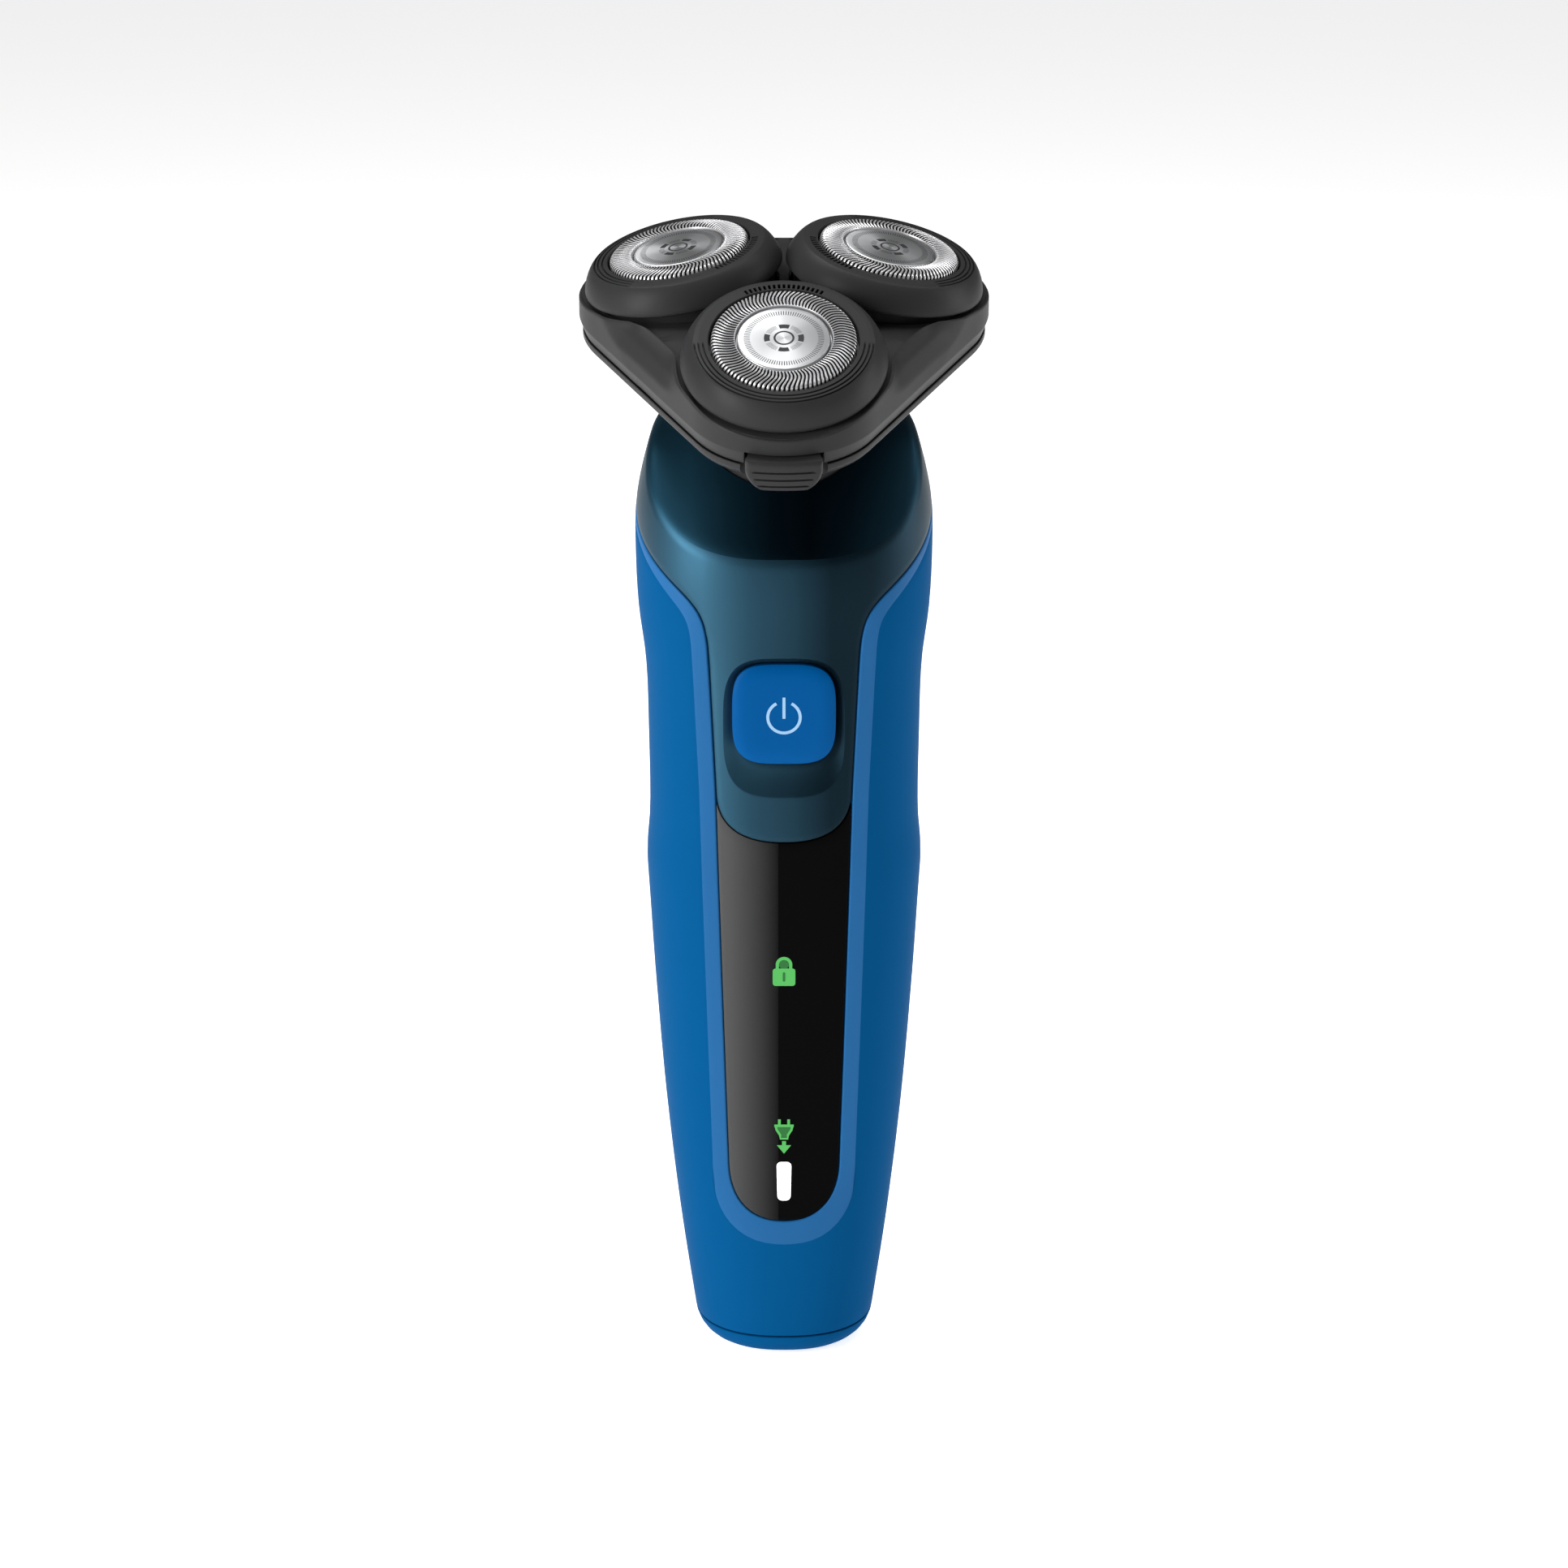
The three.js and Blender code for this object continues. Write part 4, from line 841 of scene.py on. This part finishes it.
def build_head_frame():
    top = frame_top()
    over_tab = (UP < -0.8) & (X_AT_TAB < TAB_HALF + 0.4)
    over_knuckles = (UP > 0.8) & (X_AT_HINGE > HINGE_MIDDLE + 0.1) & (X_AT_HINGE < HINGE_HALF + 0.7)
    bottom = np.where(over_tab, TAB_TOP + 0.3, float(FRAME_BOTTOM))
    bottom = np.where(over_knuckles, -11.4, bottom)
    plinth = 2.3  # height of the frame's upright lowest band
    web = np.abs(PHI) >= math.asin(HOLE_R / HOLE_PITCH) - 1e-6

    def shell(extra):
        rows = []
        for t in (0, 0.06, 0.4, 0.92, 1.0):
            z = np.maximum(FRAME_BOTTOM + plinth * t, bottom)
            rows.append(circle(frame_radius(z, extra + (0.15 if t == 0 and not extra else 0)), z))
        low = np.maximum(FRAME_BOTTOM + plinth, bottom)
        for t in [0.04, *np.linspace(0, 1, 14)[1:]]:
            z = low + (top - extra - 0.25 * (extra == 0) - low) * t
            rows.append(circle(frame_radius(z, extra), z))
        edge = frame_radius(top) - extra
        for distance, drop in ((0.08, 0.08), (0.25, 0.0), (0.42, 0.0)) if not extra else ():
            rows.append(circle(edge - distance, top - drop))
        start = edge - 0.5
        reach = np.minimum(hole_radius(True), start) - start
        return rows + [on_seat(start + reach * t, extra) for t in (0.0, 0.15, 0.4, 0.7, 1.0)]

    def centre(extra):
        return [on_seat(hole_radius(False) * t, extra) for t in (0.001, 0.35, 0.7, 0.9, 1.0)]

    outer, inner, over, under = shell(0), shell(1.3), centre(0), centre(1.3)
    skin = Skin()
    for rows in (outer, inner, over, under, [outer[0], inner[0]]):
        skin.grid(rows, wrap=True)
    for upper, lower in ((outer[-1], inner[-1]), (over[-1], under[-1])):
        for i in np.flatnonzero(~(web & np.roll(web, -1))):
            j = (i + 1) % len(PHI)
            skin.grid([[upper[i], upper[j]], [lower[i], lower[j]]])
    skin.piece("upper_frame", "frame", GREY, place=UNIT, stands_for="head_frame", sharp=28, weld=0.01)


def lathe(profile, angles):
    """Rows of a turned skin about Z from (radius, height) points."""
    return [circle(r, z, angles) for r, z in profile]


def rounded(points, corner):
    """A closed profile with its corners rounded."""
    points = np.array(points, float)
    made = []
    for before, at, after in zip(np.roll(points, 1, axis=0), points, np.roll(points, -1, axis=0)):
        back, on = before - at, after - at
        reach = min(corner, 0.45 * np.linalg.norm(back), 0.45 * np.linalg.norm(on))
        a, b = at + back / np.linalg.norm(back) * reach, at + on / np.linalg.norm(on) * reach
        for t in np.linspace(0, 1, 4):
            made.append((1 - t) ** 2 * a + 2 * t * (1 - t) * at + t * t * b)
    return np.array(made + made[:1])


def bar(skin, radius, x0, x1, edge=0.2):
    """A round bar along the hinge's axis, with softened ends."""
    turn = round_turns(32)
    rows = []
    start = [(x0, 0.01), (x0, radius - edge), (x0 + edge, radius)]
    for x, r in start + [(x1 - edge, radius), (x1, radius - edge), (x1, 0.01)]:
        rows.append(np.stack([x + 0 * turn, HINGE_Y + r * np.cos(turn), HINGE_Z + r * np.sin(turn)], axis=1))
    skin.grid(rows, wrap=True)


# ---------- Hair chamber ----------
def build_hair_chamber():
    # (height, corner radius, corner pitch) of the rounded triangle, outside and inside
    levels = [
        (-13.15, 14.5, 18.2), (-13.9, 14.55, 18.2), (-14.25, 14.35, 18.2), (-15.2, 13.7, 17.9),
        (-16.2, 12.55, 17.55), (-17.3, 11.3, 17.0), (-18.2, 10.0, 16.2), (-18.9, 8.6, 15.0),
        (-19.2, 7.4, 14.2),
    ]
    inner = [
        (-17.4, 9.4, 16.4), (-16.6, 10.6, 17.0), (-15.6, 11.7, 17.6), (-14.4, 12.9, 18.1),
        (-13.7, 13.4, 18.2), (-13.45, 13.5, 18.2),
    ]
    # (radius, height) of the round spigot that sits in the neck, and of the hole for the drive shaft
    spigot = [
        (14, -19.35), (12, -19.4), (10.75, -19.45), (10.5, -19.7), (10.5, -23.2), (10.3, -23.4),
        (9.2, -23.4), (9.0, -23.2), (9.0, -18.4), (8.8, -18.2), (5.2, -18.2), (5.0, -18.4),
        (5.0, -20.0), (4.8, -20.2), (3.9, -20.2), (3.7, -20.0), (3.7, -17.4), (3.9, -17.2),
        (4.8, -17.2), (5.0, -17.35), (8, -17.4),
    ]
    at_tab = (UP < -0.8) & (X_AT_TAB < TAB_HALF + 0.8)
    at_hinge = (UP > 0.8) & (X_AT_HINGE < HINGE_MIDDLE + 0.35)

    def ring(z, corner, pitch, out=True):
        # gaps to the tab and to the hinge's axis, outside and inside the wall
        tab_gap, hinge_gap = (0.2, 2.25) if out else (1.3, 3.3)
        limit = np.where(at_tab, (-TAB_BACK - TAB_TRAVEL - tab_gap) / np.abs(UP), 99)
        if not out or z > -15.9:
            limit = np.where(at_hinge, (HINGE_Y - hinge_gap) / np.abs(UP), limit)
        return circle(np.minimum(triangle_radius(corner, pitch), limit), z)

    rows = [ring(-13.1, 14.4, 18.2)] + [ring(*level) for level in levels]
    rows += [circle(radius, z) for radius, z in spigot]
    rows += [ring(*level, out=False) for level in inner]
    skin = Skin().grid(rows + rows[:1], wrap=True)
    skin.piece("chamber", "unit_base", GREY, place=UNIT, stands_for="hair_chamber", sharp=40)
    hinge = Skin()
    for side_x in (-1, 1):
        bar(hinge, KNUCKLE_R, side_x * (HINGE_MIDDLE + 0.3), side_x * HINGE_HALF)
    hinge.piece("chamber_knuckles", "unit_base", GREY, place=UNIT)
    barrel = Skin()
    bar(barrel, KNUCKLE_R, -HINGE_MIDDLE, HINGE_MIDDLE)
    barrel.piece("frame_knuckle", "frame", GREY, place=UNIT)
    pin = Skin()
    bar(pin, HINGE_R - 0.05, -HINGE_HALF - 0.15, HINGE_HALF + 0.15, edge=0.12)
    pin.piece("hinge_axle", "unit_base", STEEL, place=UNIT, stands_for="hinge_pin")


# ---------- Release tab ----------
def build_release_tab():
    def half(z):
        t = np.clip((z - TAB_BOTTOM) / (TAB_TOP - 1.5 - TAB_BOTTOM), 0, 1)
        return 2.4 + (TAB_HALF - 2.4) * np.sqrt(1 - (1 - t) ** 1.7) ** 0.9

    u = np.sin(np.linspace(-1, 1, 33) * math.pi / 2)
    grooves = (-12.5, -13.7, -14.85)
    z = [TAB_BOTTOM, TAB_BOTTOM + 0.06, TAB_BOTTOM + 0.25, TAB_BOTTOM + 0.6]
    for at in reversed(grooves):
        z += [at - 0.28, at - 0.17, at - 0.1, at + 0.1, at + 0.17, at + 0.28]
    z += [-12.2, -11.9, TAB_TOP - 0.6, TAB_TOP - 0.25, TAB_TOP - 0.06, TAB_TOP]

    def rows(front):
        made = []
        for height in z:
            x = half(height) * u * (1 if front else 0.9)
            edge = np.minimum((1 - np.abs(u)) * half(height), min(height - TAB_BOTTOM, TAB_TOP - height))
            y = np.full(len(u), float(TAB_BACK))
            if front:
                in_groove = 1.0 * any(abs(height - at) < 0.11 for at in grooves)
                groove = 0.3 * in_groove * ease(0.82, 0.74, np.abs(u))
                lean = 0.35 * ease(-13, TAB_BOTTOM, height) + 0.02 * x * x
                y = TAB_FRONT + lean + 0.45 * (1 - np.clip(edge / 0.55, 0, 1)) ** 2 + groove
            made.append(np.stack([x, y, 0 * u + height], axis=1))
        return made

    face, back = rows(True), rows(False)
    skin = Skin().grid(face).grid(back).joined(face, back, ends=True)
    node = "release_button"
    skin.piece("release_tab", "release_button", GREY, place=UNIT, stands_for=node, sharp=35)


# ---------- Shaving heads ----------
def head_place(bearing):
    """A head's own frame: +Z out of its cap and +X away from the unit's axis."""
    lean = Matrix.Translation((HEAD_PITCH * MM, 0, 0)) @ Matrix.Rotation(HEAD_LEAN, 4, "Y")
    return UNIT @ Matrix.Rotation(bearing, 4, "Z") @ lean


RING_SLOTS, RING_SLOT_STEP = 17, math.radians(3.5)
CAP_SLOTS = 96
DISC_TICKS = 96


def on_head(skin, name, node, finish, bearing, number, sharp=32):
    """Makes a skin into a piece that rides a head, in place of that head's CAD node."""
    skin.piece(
        f"{name}_{number}", f"head_{number}", finish,
        sharp=sharp, place=head_place(bearing), stands_for=f"{node}_{number}",
    )


def ring_columns():
    """Angles round a ring, with each inner slot's two walls, and how deep the slot is at each."""
    angles, depth = [], []
    reach = (RING_SLOTS - 1) / 2 * RING_SLOT_STEP + 0.03
    for i in range(RING_SLOTS):
        middle = math.pi + (i - (RING_SLOTS - 1) / 2) * RING_SLOT_STEP
        for share, deep in ((-0.29, 0), (-0.23, 1), (0.23, 1), (0.29, 0)):
            angles.append(middle + share * RING_SLOT_STEP)
            depth.append(deep)
    rest = np.linspace(math.pi + reach, 3 * math.pi - reach, 150)
    return np.concatenate([angles, rest]), np.concatenate([depth, np.zeros(150)])


def build_ring(bearing, number):
    angles, slot = ring_columns()
    outward = np.abs((angles + math.pi) % TAU - math.pi)
    groove_reach = ease(math.radians(88), math.radians(84), outward)
    top = [(10.8, -1.5), (10.8, -0.62), (10.84, -0.48), (10.95, -0.4)]
    crown = [
        (13.08, -0.66), (13.3, -0.84), (13.7, -1.27), (14.1, -1.85), (14.5, -2.6), (14.78, -3.4),
        (14.95, -3.95), (14.97, -4.3), (14.93, -4.52), (14.75, -4.64),
    ]
    under = [
        (14.2, -4.67), (SKIRT_R, -4.68), (SKIRT_R, -7.3), (SKIRT_R - 0.1, -7.4), (12.7, -7.4),
        (12.6, -7.3), (12.6, -2.9), (10.8, -2.4),
    ]

    def groove(r, in_slot):
        return [(r + out, in_slot, deep) for out, deep in ((-0.14, 0), (-0.09, 1), (0.09, 1), (0.14, 0))]

    # (radius, in a slot, in a groove) across the ring's face
    face = [(11.1, 0, 0), (11.16, 1, 0), *groove(11.6, 1), (12.0, 1, 0), (12.06, 0, 0)]
    face += groove(12.26, 0) + groove(12.82, 0)
    rows = lathe(top, angles)
    for r, in_slot, in_groove in face:
        drop = 0.75 * slot * in_slot + 0.32 * groove_reach * in_groove
        rows.append(circle(r, -0.4 - 0.06 * (r - 10.95) - 0.12 * max(0, r - 12.3) - drop, angles))
    rows += lathe(crown + under, angles)
    skin = Skin().grid(rows + rows[:1], wrap=True)
    on_head(skin, "ring", "head_ring", GREY, bearing, number, 35)


def build_cap(bearing, number):
    shares = [(-0.5, 0, 0), (-0.25, 0, 1), (0.0, 0, 0), (0.05, 1, 0), (0.45, 1, 0)]
    step = TAU / CAP_SLOTS
    angles = np.array([(i + share) * step for i in range(CAP_SLOTS) for share, _, _ in shares])
    slot = np.tile([deep for _, deep, _ in shares], CAP_SLOTS)
    crown = np.tile([high for _, _, high in shares], CAP_SLOTS)
    ink = np.tile([0, 0, 1, 1, 1], CAP_SLOTS)

    def row(r, z, deep=0.0, pull=0.0):
        t = np.clip((r - 7.2) / 3.3, 0, 1)
        sway = 0.022 * math.sin(TAU * t * 0.85) - 0.06 * t**2.5
        turn = angles + sway
        radius = r - pull * slot
        height = z - deep * slot + 0.10 * crown * (deep > 0)
        return circle(radius, height, turn)

    # (radius, height, slot depth, how far the slot's wall moves in)
    well = [(0.01, -1.0), (6.6, -1.0), (6.9, -0.95), (7.0, -0.8), (7.02, -0.3), (7.05, -0.08), (7.09, 0.0)]
    dome = [(r, -0.05 + 0.12 * math.sin((r - 7.3) / 2.6 * math.pi), 0.62) for r in np.linspace(7.6, 9.7, 7)]
    slotted = [(7.12, 0.0), (7.2, -0.05, 0.55), *dome, (10.0, -0.08, 0.62), (10.25, -0.22, 0.55, 0.12)]
    slotted += [(10.42, -0.5, 0.35, 0.3), (10.5, -0.85, 0.1, 0.35)]
    skirt = [
        (10.5, -1.15), (10.5, -3.5), (12.2, -3.5), (12.2, -4.1), (10.0, -4.1), (9.8, -3.9), (9.8, -1.2),
        (7.5, -1.2), (7.4, -1.6), (0.01, -1.6),
    ]
    skin = Skin().grid([row(*p) for p in well + slotted[:1]], wrap=True)
    skin.grid([row(*p) for p in slotted], wrap=True, ink=ink[None, :])
    skin.grid([row(*p) for p in slotted[-1:] + skirt], wrap=True)
    on_head(skin, "shaving_cap", "cap", [CAP, SLOT], bearing, number, 45)


def build_disc(bearing, number):
    shares = [0.0, 0.34]
    step = TAU / DISC_TICKS
    angles = np.array([(i + share) * step for i in range(DISC_TICKS) for share in shares])
    column = np.arange(len(angles))
    tick = column % 2 == 0
    quarter = ((angles + math.pi / 4) % (math.pi / 2)) - math.pi / 4
    block = np.abs(quarter + step / 4) < math.radians(17)
    between = tick & (np.abs(quarter) > math.radians(23))
    # (radius, mark) across the disc: 1 a full ring, 2 the four blocks, 3 the ticks
    bands = [
        (0.01, 0), (1.15, 0), (1.2, 1), (1.5, 1), (1.55, 0), (2.0, 0), (2.05, 2), (2.88, 2),
        (2.93, 0), (4.3, 0), (4.9, 3), (5.75, 3), (5.8, 0), (6.4, 0), (6.6, 0), (6.7, 0),
    ]
    face = [(r, -0.02 - 0.05 * (r / 6.7) ** 2) for r, _ in bands[:-2]]
    rows = lathe(face + [(6.6, -0.12), (6.7, -0.25), (6.7, -0.6), (6.6, -0.7), (0.01, -0.7)], angles)
    ink = np.zeros((len(rows) - 1, len(angles)), int)
    marks = [0, 1, 1 * (block | between), 1 * tick]
    for i, (_, kind) in enumerate(bands[:-1]):
        if kind == bands[i + 1][1]:
            ink[i] = marks[kind]
    skin = Skin().grid(rows, wrap=True, ink=ink)
    finishes = [brushed_and_painted_light(number, head_place(bearing)), ETCHED]
    on_head(skin, "disc", "cap_disc", finishes, bearing, number, 40)


def brushed_and_painted_light(number, place):
    """Satin steel with its grain round a head's axis, and light and shade painted into its colour across X.
    """
    metal = {"metallic": 0.85, "grain": 0.06, "grain_size": 0.5}
    finish = material(f"disc_satin_{number}", (0.8, 0.81, 0.82), 0.34, **metal)
    nodes, links = finish.node_tree.nodes, finish.node_tree.links
    where = nodes.new("ShaderNodeTexCoord")
    reach, along = nodes.new("ShaderNodeVectorMath"), nodes.new("ShaderNodeVectorMath")
    reach.operation, along.operation = "SUBTRACT", "CROSS_PRODUCT"
    reach.inputs[1].default_value = place.translation
    along.inputs[0].default_value = place.col[2][:3]
    links.new(where.outputs["Object"], reach.inputs[0])
    links.new(reach.outputs["Vector"], along.inputs[1])
    links.new(along.outputs["Vector"], nodes["Principled BSDF"].inputs["Tangent"])
    nodes["Principled BSDF"].inputs["Anisotropic"].default_value = 0.75
    # Painted light: each disc runs from a painted highlight on its left to painted shade on its right.
    middle = place.translation.x / MM
    stops = [(middle - 6.7, 1.1), (middle - 3, 0.75), (middle + 2, 0.5), (middle + 6.7, 0.32)]
    across(finish, stops, (0.66, 0.67, 0.68))
    return finish


ETCHED = material("disc_etched", (0.03, 0.03, 0.032), 0.5, metallic=0.4, specular=0.2, grain=0.1)


def turned(name, body, node, profile, finish, corner):
    """A turned piece about the unit's axis, its profile's corners rounded."""
    rows = lathe(rounded(profile, corner), round_turns(72))
    Skin().grid(rows, wrap=True).piece(name, body, finish, place=UNIT, stands_for=node)


def build_retainer(bearing, number):
    """The ring that holds the cutter in: a thin plate with three curved windows."""
    columns = round_turns(120)
    third = (columns - 0.25) % (TAU / 3)
    window = third < 1.6
    skin = Skin()
    inner_r, outer_r = 4.4, 12.3

    def rows(z):
        return lathe([(inner_r + 0.1, z), (6.2, z), (10.6, z), (outer_r - 0.1, z)], columns)

    top, low = rows(-4.5), rows(-5.8)
    for level in (top, low):
        skin.grid(level[:2], wrap=True).grid(level[2:], wrap=True)
    skin.grid([top[0], *lathe([(inner_r, -4.6), (inner_r, -5.7)], columns), low[0]], wrap=True)
    skin.grid([top[3], *lathe([(outer_r, -4.6), (outer_r, -5.7)], columns), low[3]], wrap=True)
    for i in range(len(columns)):
        j = (i + 1) % len(columns)
        if window[i] and window[j]:
            sheets, ends = [(top[1], low[1]), (top[2], low[2])], []
        else:
            sheets, ends = [(top[1], top[2]), (low[1], low[2])], [edge for edge in (i, j) if window[edge]]
        for a, b in sheets:
            skin.grid([[a[i], a[j]], [b[i], b[j]]])
        for edge in ends:
            skin.grid([[top[1][edge], top[2][edge]], [low[1][edge], low[2][edge]]])
    on_head(skin, "retainer", "retaining_ring", RETAINER, bearing, number)


SOCKET_PROFILE = [
    (10.9, -19.6), (13, -19.6), (13, -29.5), (12.2, -29.5), (12.2, -26.4), (2.2, -26.4),
    (2.2, -25.1), (10.9, -25.1),
]
MOTOR_PROFILE = [(2.6, -26.75), (9.5, -26.75), (9.5, -47.2), (0.01, -47.2), (0.01, -28.7), (2.6, -28.7)]


# ---------- All pieces, from the foot up to the heads ----------
for build in (build_grip, build_base_cap, build_front_shell, build_window, build_signs, build_button):
    build()
for build in (build_head_frame, build_hair_chamber, build_release_tab):
    build()
turned("neck_socket", "handle", "neck_collar", SOCKET_PROFILE, GREY, 0.35)
turned("motor_housing", "handle", "motor_can", MOTOR_PROFILE, STEEL, 0.4)
for number, bearing in enumerate(HEAD_BEARINGS, 1):
    for build in (build_retainer, build_ring, build_cap, build_disc):
        build(bearing, number)


# ---------- The CAD pieces that stay as they are ----------
KEPT = [
    (RUBBER, "base_seal shaft_seal"),
    (DARK, "chassis power_switch charge_socket motor_end_cap gear_cover"),
    (BRASS, "battery_contact_top battery_contact_bottom socket_pin_left socket_pin_right"),
    (STEEL, "motor_shaft motor_screw_left motor_screw_right cutter_1 cutter_2 cutter_3"),
    (STEEL, "cover_screw_1 cover_screw_2 cover_screw_3"),
    (GEAR, "centre_gear drive_gear_1 drive_gear_2 drive_gear_3"),
    (LIT_GREEN, "lock_light_guide plug_light_guide"),
    (LIT_WHITE, "battery_light_guide"),
    (BOARD, "circuit_board"),
    (CELL, "battery_cell"),
]
for finish, names in KEPT:
    for name in names.split():
        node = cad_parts[name]
        node.data.materials.clear()
        node.data.materials.append(finish)
        node.data.shade_smooth()
        node.data.set_sharp_from_angle(angle=math.radians(35))


# ---------- Stage, light and camera ----------
def build_stage():
    floor_mesh = bpy.data.meshes.new("floor")
    floor_mesh.from_pydata([(-9, -9, 0), (9, -9, 0), (9, 9, 0), (-9, 9, 0)], [], [(0, 1, 2, 3)])
    glow = {"emission": (1, 1, 1), "strength": 0.72}
    white = material("floor_white", (0.9, 0.9, 0.9), 0.9, grain=0.02, grain_size=20, **glow)
    floor_mesh.materials.append(white)
    floor = bpy.data.objects.new("floor", floor_mesh)
    bpy.context.scene.collection.objects.link(floor)


def area_light(name, place, aim, size, power):
    lamp = bpy.data.lights.new(name, "AREA")
    lamp.shape, lamp.size, lamp.size_y = "RECTANGLE", size[0], size[1]
    lamp.energy = power
    thing = bpy.data.objects.new(name, lamp)
    thing.location = place
    thing.rotation_euler = (Vector(aim) - Vector(place)).to_track_quat("-Z", "Y").to_euler()
    bpy.context.scene.collection.objects.link(thing)


build_stage()
CENTRE, HEADS = (0, 0, 0.0913), (0, 0, 0.17)
area_light("key_left", (-0.72, -0.5, 0.32), CENTRE, (0.25, 0.6), 9)
area_light("fill_right", (0.85, 0.05, 0.3), CENTRE, (0.3, 0.6), 3.5)
area_light("top_left", (-0.36, 0.14, 0.95), HEADS, (0.3, 0.4), 3.4)
area_light("overhead", (-0.05, 0.1, 0.9), HEADS, (0.7, 0.7), 2.6)
area_light("top_right", (0.4, 0.1, 0.8), HEADS, (0.12, 0.5), 1.5)

world = bpy.data.worlds.new("studio")
world.use_nodes = True
fill(world.node_tree.nodes["Background"], {"Color": (1, 1, 1, 1), "Strength": 0.12})
bpy.context.scene.world = world
bpy.context.scene.view_settings.view_transform = "Standard"

lens = bpy.data.cameras.new("camera")
lens.sensor_width = 36
lens.lens = 4683 / 1932 * lens.sensor_width  # focal length and width of the photo, in its pixels
camera = bpy.data.objects.new("camera", lens)
distance, elevation = 0.59, math.radians(18)
camera.location = Vector(CENTRE) + Vector((0, -math.cos(elevation), math.sin(elevation))) * distance
camera.rotation_euler = (Vector(CENTRE) - camera.location).to_track_quat("-Z", "Y").to_euler()
bpy.context.scene.collection.objects.link(camera)
bpy.context.scene.camera = camera
